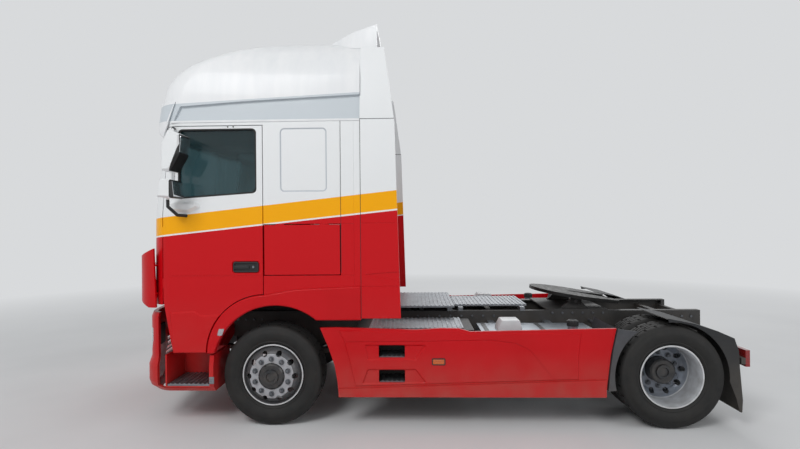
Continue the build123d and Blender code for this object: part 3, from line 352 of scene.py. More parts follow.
def rimEnamel(name, axle, own):
    # stoving enamel on pressed steel: painted barrel and disc, black hub, dark wheel nuts, brake dust, and a
    # painted highlight on the outer lip
    ring = {**wheelRings, **own}
    sockets = {"Roughness": 0.36, "Metallic": 0.25, "Coat Weight": 0.3}
    material, tree, shader, place = startMaterial(name, sockets)
    flat = addNode(tree, "VectorMath", {"operation": "MULTIPLY", 1: (1, 0, 1)}, {0: place})["Vector"]
    centre = {"operation": "DISTANCE", 1: (axle, 0, axleHeight)}
    radius = addNode(tree, "VectorMath", centre, {0: flat})["Value"]
    side = axesOf(tree, place)[1]
    nuts = between(tree, radius, ring["nutInner"], ring["nutOuter"])
    colour = twoTone(tree, mottle(tree, place, 0.2, 0, 1), ring["hub"], ring["hubLight"])
    colour = paintOver(tree, colour, between(tree, radius, ring["hubRadius"]), ring["disc"])
    colour = paintOver(tree, colour, allOf(tree, nuts, between(tree, side, ring["face"])), ring["nut"])
    colour = paintOver(tree, colour, between(tree, radius, ring["discRadius"]), ring["barrel"])
    # painted highlight: the outer lip is brighter than the barrel
    colour = paintOver(tree, colour, between(tree, radius, ring["lipRadius"]), ring["lip"])
    grime = mottle(tree, place, 0.07, 0, 0.35, 6)
    feed(tree, shader, {"Base Color": paintOver(tree, colour, grime, "#6A625A"),
                        "Roughness": mottle(tree, place, 0.05, 0.3, 0.5)})
    return material


def tintedGlass():
    # toughened glass with a green-grey tint: clear, sharp reflections
    material, tree, shader, place = startMaterial("tintedCabGlass", {
        "Base Color": srgb("#547A80"), "Roughness": 0.02, "IOR": 1.5, "Transmission Weight": 0.9,
        "Alpha": 0.8})
    feed(tree, shader, {"Roughness": mottle(tree, place, 0.2, 0.015, 0.06)})
    return material


def lens(name, dark, light, clear):
    # injection-moulded polycarbonate lens with fine optic ribs inside
    material, tree, shader, place = startMaterial(name, {
        "Roughness": 0.12, "IOR": 1.58, "Transmission Weight": clear, "Coat Weight": 0.5})
    ribs = addNode(tree, "TexWave", {"bands_direction": "Z", "Scale": 22}, {"Vector": place})["Fac"]
    feed(tree, shader, {"Base Color": twoTone(tree, ribs, dark, light)})
    addBump(tree, shader, ribs, 0.2, 0.001)
    return material


def wovenCloth(name, dark, light, thread):
    # flat-woven upholstery: soft sheen, warp over weft
    material, tree, shader, place = startMaterial(name, {
        "Roughness": 0.88, "Sheen Weight": 0.3, "Sheen Roughness": 0.5})
    waves = [addNode(tree, "TexWave", {"bands_direction": axis, "Scale": 1 / thread / 6.3}, {"Vector": place})
             for axis in ("X", "Y")]
    weave = allOf(tree, waves[0]["Fac"], waves[1]["Fac"])
    feed(tree, shader, {"Base Color": twoTone(tree, weave, dark, light)})
    addBump(tree, shader, weave, 0.3, 0.001)
    return material


def greasedSteel():
    # coupling plate: dark steel under black grease, wiped bright in arcs
    material, tree, shader, place = startMaterial("greasedPlateSteel", {
        "Metallic": 0.2, "Roughness": 0.45, "Specular IOR Level": 0.3})
    patches = mottle(tree, place, 0.08, 0, 1, 5)
    feed(tree, shader, {"Base Color": twoTone(tree, patches, "#0F0F10", "#1F1E1D"),
                        "Roughness": mottle(tree, place, 0.05, 0.34, 0.65, 5)})
    addBump(tree, shader, patches, 0.15, 0.002)
    return material


def silveredGlass():
    # mirror glass: silvered back, near-perfect reflection
    material, tree, shader, place = startMaterial("silveredMirrorGlass", {
        "Base Color": srgb("#D5D9DC"), "Metallic": 1.0})
    feed(tree, shader, {"Roughness": mottle(tree, place, 0.1, 0.02, 0.05)})
    return material


mirrorCover = {  # parting lines between white cover and black holder, x from the front axle
    "main": 0.724, "lean": 0.40, "foot": 1.800, "wide": 0.815, "split": 2.41, "low": 2.195, "inner": 1.3295,
    "fairingLow": 2.0735, "fairingHigh": 2.19, "fairing": halfBody + 0.0425,
}


def mirrorEnamel():
    # door fairing and front covers of the mirrors are white, their arms and holders are black
    material, tree, shader, place = startMaterial("mirrorArmPlastic", {"Roughness": 0.4, "IOR": 1.49})
    cover = mirrorCover
    x, side, z = axesOf(tree, place)
    lean = {"operation": "DOT_PRODUCT", 1: (1, 0, cover["lean"])}
    leaning = addNode(tree, "VectorMath", lean, {0: place})["Value"]
    outer = between(tree, side, cover["inner"])
    fairing = allOf(tree, between(tree, z, cover["fairingLow"], cover["fairingHigh"]),
                    between(tree, side, None, cover["fairing"]))
    main = allOf(tree, between(tree, x, frontAxle + cover["main"]), between(tree, z, cover["split"]),
                 between(tree, leaning, frontAxle + cover["foot"]), outer)
    wide = allOf(tree, between(tree, x, frontAxle + cover["wide"]), outer,
                 between(tree, z, cover["low"], cover["split"]))
    colour = twoTone(tree, mottle(tree, place, 0.05, 0, 1), "#141516", "#202123")
    for part in (fairing, main, wide):
        colour = paintOver(tree, colour, part, "#E9EBEC")
    feed(tree, shader, {"Base Color": colour})
    grain = addNode(tree, "TexVoronoi", {"Scale": 330}, {"Vector": place})
    addBump(tree, shader, grain["Distance"], 0.08, 0.0006)
    return material


def zincSteel():
    # zinc-plated steel fastenings, dulled and dusty
    material, tree, shader, place = startMaterial("zincPlatedSteel", {"Metallic": 0.7, "Roughness": 0.42})
    tone = mottle(tree, place, 0.02, 0, 1, 4)
    feed(tree, shader, {"Base Color": twoTone(tree, tone, "#4A4C50", "#7C7F84"),
                        "Roughness": mottle(tree, place, 0.03, 0.3, 0.6)})
    return material


def lampReflector():
    # vacuum-metallised lamp bowl: bright, with faint rings
    sockets = {"Metallic": 0.95, "Roughness": 0.12}
    material, tree, shader, place = startMaterial("metallisedLampBowl", sockets)
    ripple = mottle(tree, place, 0.01, 0, 1, 1)
    feed(tree, shader, {"Base Color": twoTone(tree, ripple, "#B9BEC4", "#DDE1E5")})
    return material


def guardMoulding():
    # mudguards: grey front quarter, black rear quarter with a ribbed flap
    material, tree, shader, place = startMaterial("mudguardPolyethylene", {"Roughness": 0.55, "IOR": 1.5})
    x = axesOf(tree, place)[0]
    grey = twoTone(tree, mottle(tree, place, 0.1, 0, 1, 4), "#3D3E42", "#494A4F")
    rear = between(tree, x, None, rearAxle + 0.1)
    addDust(tree, shader, place, paintOver(tree, grey, rear, "#1A1C1F"), 0.9, 0.2)
    ribs = addNode(tree, "TexWave", {"bands_direction": "Z", "Scale": 8}, {"Vector": place})["Fac"]
    addBump(tree, shader, ribs, 0.15, 0.002)
    return material


cabPaint = stripedEnamel()
redPaint = redEnamel()
whitePaint = whiteEnamel()
framePaint = chassisPaint()
castMetal = castIron()
plateAluminium = milledAluminium()
tankSheet = tankAluminium()
blackPlastic = moulded("blackPolypropylene", "#191A1B", "#242526", 0.55, 0.003, 1.0, 0.18)
cabTrim = moulded("greyCabTrim", "#2C2E31", "#383B3F", 0.6, 0.003)
rubberSeal = moulded("extrudedRubberSeal", "#101112", "#191A1A", 0.65, 0.005)
greyCover = moulded("paleGreyCover", "#C9CDD0", "#D8DADC", 0.4, 0.004)
tyreSkin = tyreRubber()
glass = tintedGlass()
clearLens = lens("clearPolycarbonateLens", "#C9D2D8", "#E4EAEE", 0.5)
redLens = lens("redPolycarbonateLens", "#7E0B0C", "#A81212", 0.15)
amberLens = lens("amberPolycarbonateLens", "#C24A08", "#E8730E", 0.15)
seatCloth = wovenCloth("wovenSeatCloth", "#26292E", "#3B3F46", 0.004)
bedCloth = wovenCloth("quiltedBedCloth", "#4A4E57", "#666B75", 0.005)
coupling = greasedSteel()
nutSteel = zincSteel()
lampMirror = lampReflector()
mirrorGlass = silveredGlass()
mirrorShell = mirrorEnamel()
guardPlastic = guardMoulding()
# front barrel: the rim's own paint, darker than its disc, partly as painted shade where the short barrel lies
# in shadow
frontWheel = rimEnamel("silverFrontRimEnamel", frontAxle, {
    "face": 1.2025, "disc": "#B4B6BB", "discRadius": 0.214, "barrel": "#55575B"})
rearWheel = rimEnamel("silverRearRimEnamel", rearAxle, {
    "face": 0.9325, "disc": "#858D99", "discRadius": 0.262, "barrel": "#C4C7CB"})
print("materials made")

finishes = (
    (framePaint, "chassis_frame propeller_shaft front_springs fifth_wheel_base"),
    (castMetal, "engine_block gearbox front_axle_beam rear_axle knuckle_left knuckle_right"),
    (plateAluminium, "radiator step_treads silencer_box catwalk"),
    (redPaint, "bumper step_wells side_skirts corner_deflectors wheel_flares"),
    (whitePaint, "cab_roof roof_spoiler sun_visor"),
    (cabPaint, "cab_sides cab_rear_wall cab_front_frame side_collars front_lid"),
    (cabPaint, "door_left door_right locker_lid_left locker_lid_right"),
    (glass, "windscreen door_glass_left door_glass_right"),
    (cabTrim, "cab_floor dashboard bunk_box"),
    (blackPlastic, "battery_box steering_wheel"),
    (mirrorShell, "mirror_left mirror_right"),
    (tyreSkin, "tyre_front_left tyre_front_right tyre_rear_left tyre_rear_right"),
    (frontWheel, "rim_front_left rim_front_right"),
    (rearWheel, "rim_rear_left rim_rear_right"),
    (guardPlastic, "rear_mudguards"),
    (rubberSeal, "rear_air_springs"),
    (tankSheet, "fuel_tanks"),
    (coupling, "fifth_wheel_plate"),
    (clearLens, "lamps"),
    (seatCloth, "seats"),
    (bedCloth, "bunk_mattress"),
)
for material, nodes in finishes:
    for node in nodes.split():
        solid = frame["nodes"][node]
        solid.data.materials.clear()
        solid.data.materials.append(material)
print("finishes on", sum(len(nodes.split()) for material, nodes in finishes), "solids")


def selectOnly(piece):
    bpy.ops.object.select_all(action="DESELECT")
    piece.select_set(True)
    bpy.context.view_layer.objects.active = piece


def startPiece(primitive, name, **settings):
    # one of Blender's primitives, with nothing else selected
    bpy.ops.object.select_all(action="DESELECT")
    getattr(bpy.ops.mesh, "primitive_" + primitive + "_add")(**settings)
    piece = bpy.context.object
    piece.name = name
    return piece


def startEdit(piece, mode="FACE"):
    selectOnly(piece)
    bpy.ops.object.mode_set(mode="EDIT")
    bpy.ops.mesh.select_mode(type=mode)
    bpy.ops.mesh.select_all(action="SELECT")


def endEdit():
    bpy.ops.object.mode_set(mode="OBJECT")


def pickFaces(piece, test):
    # leaves only the faces that pass the test selected, for the next edit
    bpy.ops.mesh.select_all(action="DESELECT")
    mesh = bmesh.from_edit_mesh(piece.data)
    for face in mesh.faces:
        face.select_set(test(face))
    bmesh.update_edit_mesh(piece.data)


def pull(move):
    bpy.ops.mesh.extrude_region_move(TRANSFORM_OT_translate={"value": tuple(move)})


def sink(depth):
    bpy.ops.mesh.extrude_region_shrink_fatten(TRANSFORM_OT_shrink_fatten={"value": -depth})


def applyModifier(piece, kind, settings):
    selectOnly(piece)
    modifier = piece.modifiers.new(kind.lower(), kind)
    for key, value in settings.items():
        setattr(modifier, key, value)
    bpy.ops.object.modifier_apply(modifier=modifier.name)


def roundEdges(piece, width, segments=2):
    applyModifier(piece, "BEVEL", {"width": width, "segments": segments, "limit_method": "ANGLE"})


def settle(piece):
    # place, turn and size go into the mesh, with every face outwards
    selectOnly(piece)
    bpy.ops.object.transform_apply(location=True, rotation=True, scale=True)
    startEdit(piece)
    bpy.ops.mesh.remove_doubles(threshold=0.00002)
    bpy.ops.mesh.normals_make_consistent(inside=False)
    endEdit()


def finishPiece(piece, material, body, smooth=30):
    settle(piece)
    bpy.ops.object.shade_smooth_by_angle(angle=math.radians(smooth))
    piece.data.materials.clear()
    piece.data.materials.append(material)
    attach(piece, body)
    return piece


def copyOf(piece, name):
    twin = piece.copy()
    twin.data = piece.data.copy()
    twin.name = name
    bpy.context.collection.objects.link(twin)
    return twin


def finishTwins(left, name, material, body):
    # the piece and its mirror image on the right; a body that has two sides is given as a stem
    settle(left)
    left.name = name + "Left"
    right = copyOf(left, name + "Right")
    right.scale = (1, -1, 1)
    for piece, (side, turn) in zip((left, right), sides):
        finishPiece(piece, material, body + side if body.endswith("_") else body)


def joinInto(pieces, name):
    bpy.ops.object.select_all(action="DESELECT")
    for piece in pieces:
        piece.select_set(True)
    bpy.context.view_layer.objects.active = pieces[0]
    bpy.ops.object.join()
    pieces[0].name = name
    return pieces[0]


def rectangle(form, inset=0.0):
    # corners in the side view, from a piece's own dictionary
    rear, front = form["rear"] + inset, form["front"] - inset
    low, high = form["low"] + inset, form["high"] - inset
    return [(rear, low), (front, low), (front, high), (rear, high)]


def outlinePlate(name, corners, outer, thick, corner=0.0, rim=0.0, edge=0.0):
    # plate in the side view: corners as (x from the front axle, z), its face at y = outer
    plate = startPiece("circle", name, vertices=len(corners), fill_type="NGON")
    for vertex, (x, z) in zip(plate.data.vertices, corners):
        vertex.co = (frontAxle + x, outer - thick, z)
    startEdit(plate, "VERT")
    if corner:
        bpy.ops.mesh.bevel(offset=corner, offset_type="OFFSET", segments=5, affect="VERTICES")
    bpy.ops.mesh.select_mode(type="FACE")
    bpy.ops.mesh.select_all(action="SELECT")
    if rim:
        bpy.ops.mesh.inset(thickness=rim)
        bpy.ops.mesh.delete(type="FACE")
        bpy.ops.mesh.select_all(action="SELECT")
    pull((0, thick, 0))
    bpy.ops.mesh.select_all(action="SELECT")
    bpy.ops.mesh.normals_make_consistent(inside=False)
    endEdit()
    if edge:
        roundEdges(plate, edge)
    return plate


def twinPlates(name, corners, outer, thick, material, body, slot, **form):
    # the same plate on both sides
    finishTwins(outlinePlate(name, corners, outer, thick, **form), name, material, body)


skin = {
    "paint": 0.0022,  # radius that paint leaves on a folded panel edge, metres
    "plastic": 0.003,
    "cut": 35, "smooth": 28, "flat": 0.3, "merge": 0.00005,  # degrees, and metres
}
softEdges = (
    ("paint", "bumper cab_sides cab_front_frame front_lid"),
    ("plastic", "cab_roof roof_spoiler sun_visor corner_deflectors wheel_flares side_collars"),
    ("paint", "side_skirts door_left door_right locker_lid_left locker_lid_right cab_rear_wall step_wells"),
    (None, "rim_front_left rim_front_right rim_rear_left rim_rear_right fuel_tanks mirror_left mirror_right"),
    ("plastic", "dashboard rear_mudguards"),
    (None, "rear_air_springs rear_axle steering_wheel silencer_box"),
    ("plastic", "battery_box fifth_wheel_plate"),
    (None, "windscreen"),
)


def mergedCopy(node, name, edge=None):
    # a CAD solid's loose triangles merged, and its flat faces made whole where an edge will be rounded
    piece = bpy.data.objects.new(name, frame["nodes"][node].data.copy())
    bpy.context.collection.objects.link(piece)
    startEdit(piece, "VERT")
    bpy.ops.mesh.customdata_custom_splitnormals_clear()
    bpy.ops.mesh.remove_doubles(threshold=skin["merge"])
    if edge:
        bpy.ops.mesh.dissolve_limited(angle_limit=math.radians(skin["flat"]))
    endEdit()
    return piece


def softSkin(node, edge):
    # a merged copy of the solid whose curves shade smooth and whose edges catch the light
    piece = mergedCopy(node, node + "Skin", edge)
    if edge:
        applyModifier(piece, "BEVEL", {"width": skin[edge], "segments": 2, "limit_method": "ANGLE",
                                       "angle_limit": math.radians(skin["cut"])})
    bpy.ops.object.shade_smooth_by_angle(angle=math.radians(skin["smooth"]))
    if edge:
        applyModifier(piece, "WEIGHTED_NORMAL", {"keep_sharp": True})
    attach(piece, body_of(frame["nodes"][node])[0])
    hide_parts(node)
    return piece


skins = [softSkin(node, edge) for edge, nodes in softEdges for node in nodes.split()]
print("skins on", len(skins), "solids")

tyreForm = {
    "bead": 0.292, "radius": 0.4898, "steps": 120, "margin": 0.0022,
    "places": {"front": (frontAxle, (1.025,)), "rear": (rearAxle, (1.088, 0.743))},
    "grooves": (-0.063, -0.021, 0.021, 0.063),
    "grooveHalf": 0.0055, "grooveDepth": 0.012, "grooveSlope": 0.0015,
    "lift": 0.0012, "liftPast": 0.05,  # how much lower the tread lies past this distance across
    "notch": {"radius": 0.4835, "across": 0.0705, "every": 4, "depth": 0.009},
    "sipe": {"radius": 0.488, "across": 0.056, "rib": 0.02, "every": 6, "depth": 0.004},
}


def tyreSection():
    # one closed section as radius and distance across: wall, shoulder, grooved tread, and back
    wall = [(tyreForm["bead"], -0.104), (0.312, -0.131), (0.325, -0.137), (0.331, -0.1345), (0.36, -0.149),
            (0.395, -0.1565), (0.425, -0.1545), (0.429, -0.1515), (0.452, -0.147), (0.468, -0.141),
            (0.476, -0.131), (0.482, -0.118), (0.4865, -0.104)]
    section = list(wall)
    half, slope = tyreForm["grooveHalf"], tyreForm["grooveSlope"]
    low = tyreForm["radius"] - tyreForm["grooveDepth"]
    for y in tyreForm["grooves"]:
        top = tyreForm["radius"] - tyreForm["lift"] * (abs(y) > tyreForm["liftPast"])
        section += [(top, y - half), (low, y - half + slope), (low, y + half - slope), (top, y + half)]
    return section + [(r, -y) for r, y in wall[::-1]]


def modelTyre():
    section = tyreSection()
    tyre = startPiece("circle", "tyrePattern", vertices=len(section), fill_type="NOTHING")
    for vertex, (radius, across) in zip(tyre.data.vertices, section):
        vertex.co = (0, across, radius)
    startEdit(tyre, "VERT")
    bpy.ops.mesh.spin(steps=tyreForm["steps"], angle=math.radians(360), center=(0, 0, 0), axis=(0, 1, 0))
    bpy.ops.mesh.select_all(action="SELECT")
    bpy.ops.mesh.remove_doubles(threshold=skin["merge"])
    bpy.ops.mesh.normals_make_consistent(inside=False)
    bpy.ops.mesh.select_mode(type="FACE")
    step = 2 * math.pi / tyreForm["steps"]
    notch, sipe = tyreForm["notch"], tyreForm["sipe"]

    def spot(face):
        # radius, distance across, and number of the spin's step
        middle = face.calc_center_median()
        number = int((math.atan2(middle.z, middle.x) + math.pi) / step)
        return math.hypot(middle.x, middle.z), abs(middle.y), number

    def shoulderNotch(face):
        radius, across, number = spot(face)
        return radius > notch["radius"] and across > notch["across"] and number % notch["every"] == 0

    def ribSipe(face):
        radius, across, number = spot(face)
        start = int(across > sipe["rib"]) * sipe["every"] // 2
        return radius > sipe["radius"] and across < sipe["across"] and number % sipe["every"] == start

    for test, form in ((shoulderNotch, notch), (ribSipe, sipe)):
        pickFaces(tyre, test)
        bpy.ops.mesh.inset(thickness=tyreForm["margin"])
        sink(form["depth"])
    endEdit()
    return tyre


def addTyres():
    pattern = modelTyre()
    for axle, (x, rows) in tyreForm["places"].items():
        for side, turn in sides:
            name = "tyre_" + axle + side.capitalize() + "Tyre"
            copies = []
            for across in rows:
                tyre = copyOf(pattern, name)
                tyre.location = (x, across * turn, axleHeight)
                copies.append(tyre)
            tyre = finishPiece(joinInto(copies, name), tyreSkin, "wheel_" + axle + "_" + side, 38)
            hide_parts("tyre_" + axle + "_" + side)
    bpy.data.objects.remove(pattern)


addTyres()
print("tyres on")

doorGlazing = {
    "rear": 0.118, "front": 0.88, "top": 2.88, "lowFront": 2.209, "lowRear": 2.259, "corner": 0.05,
    "outer": halfBody - 0.0005, "thick": 0.03, "seal": 0.016,
}
doorPull = {"rear": 0.104, "front": 0.351, "low": 1.499, "high": 1.600, "face": halfBody - 0.002}
pullHandle = {"rear": 0.195, "front": 0.340, "low": 1.532, "high": 1.566}
doorLock = {"x": 0.155, "y": halfBody - 0.003, "z": 1.549, "radius": 0.011, "depth": 0.01, "edge": 0.0015}


def addRoundHeads(name, ending, form, vertices, material):
    # a low round head on each door, its axis across the vehicle
    for side, turn in sides:
        place = (frontAxle + form["x"], turn * form["y"], form["z"])
        head = startPiece("cylinder", name + side.capitalize() + ending, vertices=vertices, location=place,
                          radius=form["radius"], depth=form["depth"], rotation=sideways)
        roundEdges(head, form["edge"])
        finishPiece(head, material, "door_" + side)


def addDoorGlazing():
    form = doorGlazing
    corners = [(form["rear"], form["lowRear"]), (form["front"], form["lowFront"]),
               (form["front"], form["top"]), (form["rear"], form["top"])]
    twinPlates("windowSeal", corners, form["outer"], form["thick"], rubberSeal, "door_", "dark_plastic",
               corner=form["corner"], rim=form["seal"], edge=0.003)


def addDoorPull():
    face = doorPull["face"]
    finish = (blackPlastic, "door_", "dark_plastic")
    twinPlates("pullFrame", rectangle(doorPull), face + 0.004, 0.013, *finish, corner=0.022, rim=0.014,
               edge=0.003)
    twinPlates("pullCup", rectangle(doorPull, 0.012), face - 0.006, 0.004, *finish, corner=0.015)
    twinPlates("pullHandle", rectangle(pullHandle), face + 0.006, 0.014, *finish, corner=0.012, edge=0.004)
    addRoundHeads("doorLock", "", doorLock, 24, plateAluminium)


addDoorGlazing()
addDoorPull()
print("doors dressed")

skirtMarker = {"rear": -1.674, "front": -1.546, "low": 0.607, "high": 0.672, "face": 1.233, "rim": 0.009}
flareMarker = {
    "corners": [(0.435, 0.961), (0.458, 0.896), (0.504, 0.896), (0.488, 0.961)],
    "outer": halfBody + 0.0185, "thick": 0.008,
}
frameScrews = {  # the two small screws above the door window, by their number
    number: {"x": x, "y": halfBody + 0.0015, "z": 2.896, "radius": 0.007, "depth": 0.006, "edge": 0.002}
    for number, x in (("588", 0.338), ("642", 0.392))
}


def addMarkers():
    form = skirtMarker
    twinPlates("skirtMarkerHolder", rectangle(form), form["face"] + 0.006, 0.009, blackPlastic, "chassis",
               "dark_plastic", corner=0.012, rim=0.010, edge=0.002)
    twinPlates("skirtMarkerLens", rectangle(form, form["rim"]), form["face"] + 0.005, 0.008, amberLens,
               "chassis", "lamp_lens", corner=0.006, edge=0.002)
    twinPlates("flareMarker", flareMarker["corners"], flareMarker["outer"], flareMarker["thick"], clearLens,
               "cab", "lamp_lens", corner=0.008, edge=0.002)
    for number, screw in frameScrews.items():
        addRoundHeads("frameScrew", number, screw, 16, blackPlastic)


addMarkers()
print("markers on")

mirrorPanes = {
    "inner": 1.347, "outer": 1.543, "thick": 0.005,
    "heads": {  # foot and top of each glass in the side view, x from the front axle
        "mainMirror": ((0.7250, 2.615), (0.7135, 2.760)), "wideMirror": ((0.7809, 2.216), (0.7942, 2.352)),
    },
}


def addMirrorPanes():
    # glass set in the rear face of each head
    for name, (low, high) in mirrorPanes["heads"].items():
        run = Vector((high[0] - low[0], high[1] - low[1]))
        back = Vector((-run.y, run.x)).normalized() * mirrorPanes["thick"]
        corners = [low, high, (high[0] + back.x, high[1] + back.y), (low[0] + back.x, low[1] + back.y)]
        reach = mirrorPanes["outer"] - mirrorPanes["inner"]
        twinPlates(name + "Glass", corners, mirrorPanes["outer"], reach, mirrorGlass, "door_", "glass",
                   edge=0.0012)


addMirrorPanes()
print("mirrors glazed")

wheelNut = {
    "washer": 0.0265, "washerHigh": 0.006, "washerEdge": 0.0015,
    "cap": 0.0185, "capHigh": 0.034, "capEdge": 0.0014,
    "studRim": 0.005, "stud": 0.006, "circle": 0.1675, "count": 10,
    "wheels": {"front": (frontAxle, 1.2), "rear": (rearAxle, 0.93)},  # x of the axle, y of the nuts' disc
}


def addWheelNuts():
    # flanged wheel nuts with their stud ends, one ring for each wheel
    washer = startPiece("cylinder", "nutWasher", vertices=20, radius=wheelNut["washer"], rotation=sideways,
                        depth=wheelNut["washerHigh"], location=(0, wheelNut["washerHigh"] / 2, 0))
    roundEdges(washer, wheelNut["washerEdge"])
    cap = startPiece("cylinder", "nutCap", vertices=6, radius=wheelNut["cap"], rotation=sideways,
                     depth=wheelNut["capHigh"] - wheelNut["washerHigh"],
                     location=(0, wheelNut["capHigh"] / 2, 0))
    startEdit(cap)
    pickFaces(cap, lambda face: face.normal.z < -0.9)
    bpy.ops.mesh.inset(thickness=wheelNut["studRim"])
    pull((0, wheelNut["stud"], 0))
    endEdit()
    roundEdges(cap, wheelNut["capEdge"])
    for piece in (washer, cap):
        settle(piece)
    pattern = joinInto([washer, cap], "wheelNut")
    for axle, (x, face) in wheelNut["wheels"].items():
        ring = []
        for number in range(wheelNut["count"]):
            angle = math.radians((number + 0.5) * 360 / wheelNut["count"])
            nut = copyOf(pattern, "wheelNut")
            nut.location = (x + wheelNut["circle"] * math.cos(angle), face,
                            axleHeight + wheelNut["circle"] * math.sin(angle))
            ring.append(nut)
        name = "wheelNuts" + axle.capitalize()
        finishTwins(joinInto(ring, name), name, nutSteel, "wheel_" + axle + "_")
    bpy.data.objects.remove(pattern)


addWheelNuts()
print("wheel nuts on")

# which faces of a front lamp are lens: those that look away from a point behind it, and aren't level
lampFaces = {"centreX": 2.3, "sideways": 0.5, "outward": 0.35, "upright": 0.5}


def dressLamps():
    # each lamp: moulded housing behind, clear or red lens on the faces that look out
    piece = mergedCopy("lamps", "lampUnits")
    bpy.ops.object.shade_smooth_by_angle(angle=math.radians(skin["smooth"]))
    mesh = piece.data
    mesh.materials.clear()
    for material in (blackPlastic, clearLens, redLens):
        mesh.materials.append(material)
    for face in mesh.polygons:
        middle = face.center
        outward = Vector((middle.x - lampFaces["centreX"], middle.y * lampFaces["sideways"], 0)).normalized()
        outside = face.normal.dot(outward) > lampFaces["outward"]
        lensFace = outside and abs(face.normal.z) < lampFaces["upright"]
        face.material_index = 2 if middle.x < 0 else int(lensFace)
    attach(piece, "chassis")
    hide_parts("lamps")


headlampBowls = {
    # height and distance across of each bowl, its radius, its material
    "main": (0.862, 1.000, 0.066, lampMirror), "dipped": (0.862, 0.880, 0.048, lampMirror),
    "turn": (0.785, 1.045, 0.030, amberLens),
}
bowlForm = {
    "depth": 0.014, "sunk": 0.004, "rim": 0.13, "edge": 0.0012,
    "steps": ((-0.003, 0.9), (-0.003, 0.72), (0.004, 0.55)),  # how far out each ring moves, share in size
}
ahead = 3.4  # x from which a line is shot back at the front of the vehicle


def facePoint(node, y, z):
    # where a line shot backwards meets a solid, and the solid's normal there
    mesh = frame["nodes"][node].data
    solid = BVHTree.FromPolygons([vertex.co for vertex in mesh.vertices],
                                 [face.vertices for face in mesh.polygons])
    return solid.ray_cast(Vector((ahead, y, z)), Vector((-1, 0, 0)))[:2]


def addHeadlampBowls():
    for name, (z, y, radius, material) in headlampBowls.items():
        place, normal = facePoint("lamps", y, z)
        bowl = startPiece("cylinder", name + "LampBowl", vertices=40, radius=radius, depth=bowlForm["depth"],
                          location=place - normal * bowlForm["sunk"],
                          rotation=normal.to_track_quat("Z", "Y").to_euler())
        startEdit(bowl)
        pickFaces(bowl, lambda face: face.normal.z > 0.9)
        bpy.ops.mesh.inset(thickness=radius * bowlForm["rim"])
        for step, share in bowlForm["steps"]:
            pull(normal * step)
            bpy.ops.transform.resize(value=(share, share, share))
        endEdit()
        roundEdges(bowl, bowlForm["edge"])
        finishTwins(bowl, name + "LampBowl", material, "chassis")


dressLamps()
addHeadlampBowls()
print("lamps dressed")


def seatedBox(name, size, place, turn=(0, 0, 0), edge=0.004, segments=2):
    # rounded block: the start of a small moulding or bracket
    piece = startPiece("cube", name, size=1, location=place, rotation=turn, scale=size)
    bpy.ops.object.transform_apply(location=False, rotation=False, scale=True)
    roundEdges(piece, edge, segments)
    return piece


wipers = {
    "pivots": (-0.72, -0.05), "root": 2.117, "tip": 2.162, "reach": 0.62, "lean": 62, "climb": 0.34,
    "arm": (0.018, 0.010, 0.020), "blade": (0.008, 0.022, 0.009),  # width, height, distance off the glass
    "shift": 0.25,  # share of the arm by which the blade sits further out
    "cap": {"radius": 0.022, "depth": 0.03, "off": 0.014, "edge": 0.004},
}


def addWipers():
    for number, y in enumerate(wipers["pivots"]):
        name = "windscreenWiper" + str(number)
        across = wipers["reach"] * math.sin(math.radians(wipers["lean"]))
        root, normal = facePoint("windscreen", y, wipers["root"])
        tip = facePoint("windscreen", y + across, wipers["tip"] + wipers["reach"] * wipers["climb"])[0]
        shift = (tip - root) * wipers["shift"]
        parts = []
        bars = ((root, tip, wipers["arm"]), (root + shift, tip + shift, wipers["blade"]))
        for start, end, (wide, high, off) in bars:
            run = end - start
            place = (start + end) / 2 + normal * off
            turn = run.to_track_quat("X", "Z").to_euler()
            parts.append(seatedBox(name, (run.length, wide, high), place, turn, 0.0025))
        form = wipers["cap"]
        turn = normal.to_track_quat("Z", "Y").to_euler()
        cap = startPiece("cylinder", name, vertices=24, radius=form["radius"], depth=form["depth"],
                         location=root + normal * form["off"], rotation=turn)
        roundEdges(cap, form["edge"], 3)
        parts.append(cap)
        for part in parts:
            settle(part)
        finishPiece(joinInto(parts, name), blackPlastic, "cab")


addWipers()
print("front dressed")

fillerCap = {
    "x": frontAxle - 2.95, "y": 0.98, "low": 0.928, "radius": 0.056, "high": 0.050,
    "grips": 12, "grip": 0.003, "rim": 0.010, "rise": 0.007, "dish": 0.016, "sunk": 0.005, "edge": 0.0015,
}


def addFillerCaps():
    form = fillerCap
    place = (form["x"], form["y"], form["low"] + form["high"] / 2)
    cap = startPiece("cylinder", "fillerCap", vertices=form["grips"] * 4, radius=form["radius"],
                     depth=form["high"], location=place)
    step = 2 * math.pi / (form["grips"] * 4)

    def gripFace(face):
        # one face in four of the cap's wall
        number = int((math.atan2(face.normal.y, face.normal.x) + math.pi) / step)
        return abs(face.normal.z) < 0.1 and face.calc_area() > 0.0001 and number % 4 == 0

    startEdit(cap)
    pickFaces(cap, lambda face: face.normal.z > 0.9)
    for rim, rise in ((form["rim"], form["rise"]), (form["dish"], -form["sunk"])):
        bpy.ops.mesh.inset(thickness=rim)
        pull((0, 0, rise))
    pickFaces(cap, gripFace)
    sink(form["grip"])
    endEdit()
    roundEdges(cap, form["edge"])
    finishTwins(cap, "fillerCap", blackPlastic, "chassis")


tankStep = {
    "corners": [(-2.443, 0.888), (-2.198, 0.888), (-2.206, 0.925), (-2.241, 0.996), (-2.415, 0.996),
                (-2.436, 0.925)],
    "inner": 0.86, "outer": 1.06, "edge": 0.008,
}
stepCap = {"rear": 0.545, "front": 0.592, "low": 0.429, "high": 0.497, "face": 1.2445, "thick": 0.004}


def addTankSteps():
    # pressed pale hump that stands on the tank between its straps
    twinPlates("tankStep", tankStep["corners"], tankStep["outer"], tankStep["outer"] - tankStep["inner"],
               greyCover, "chassis", "white_plastic", edge=tankStep["edge"])


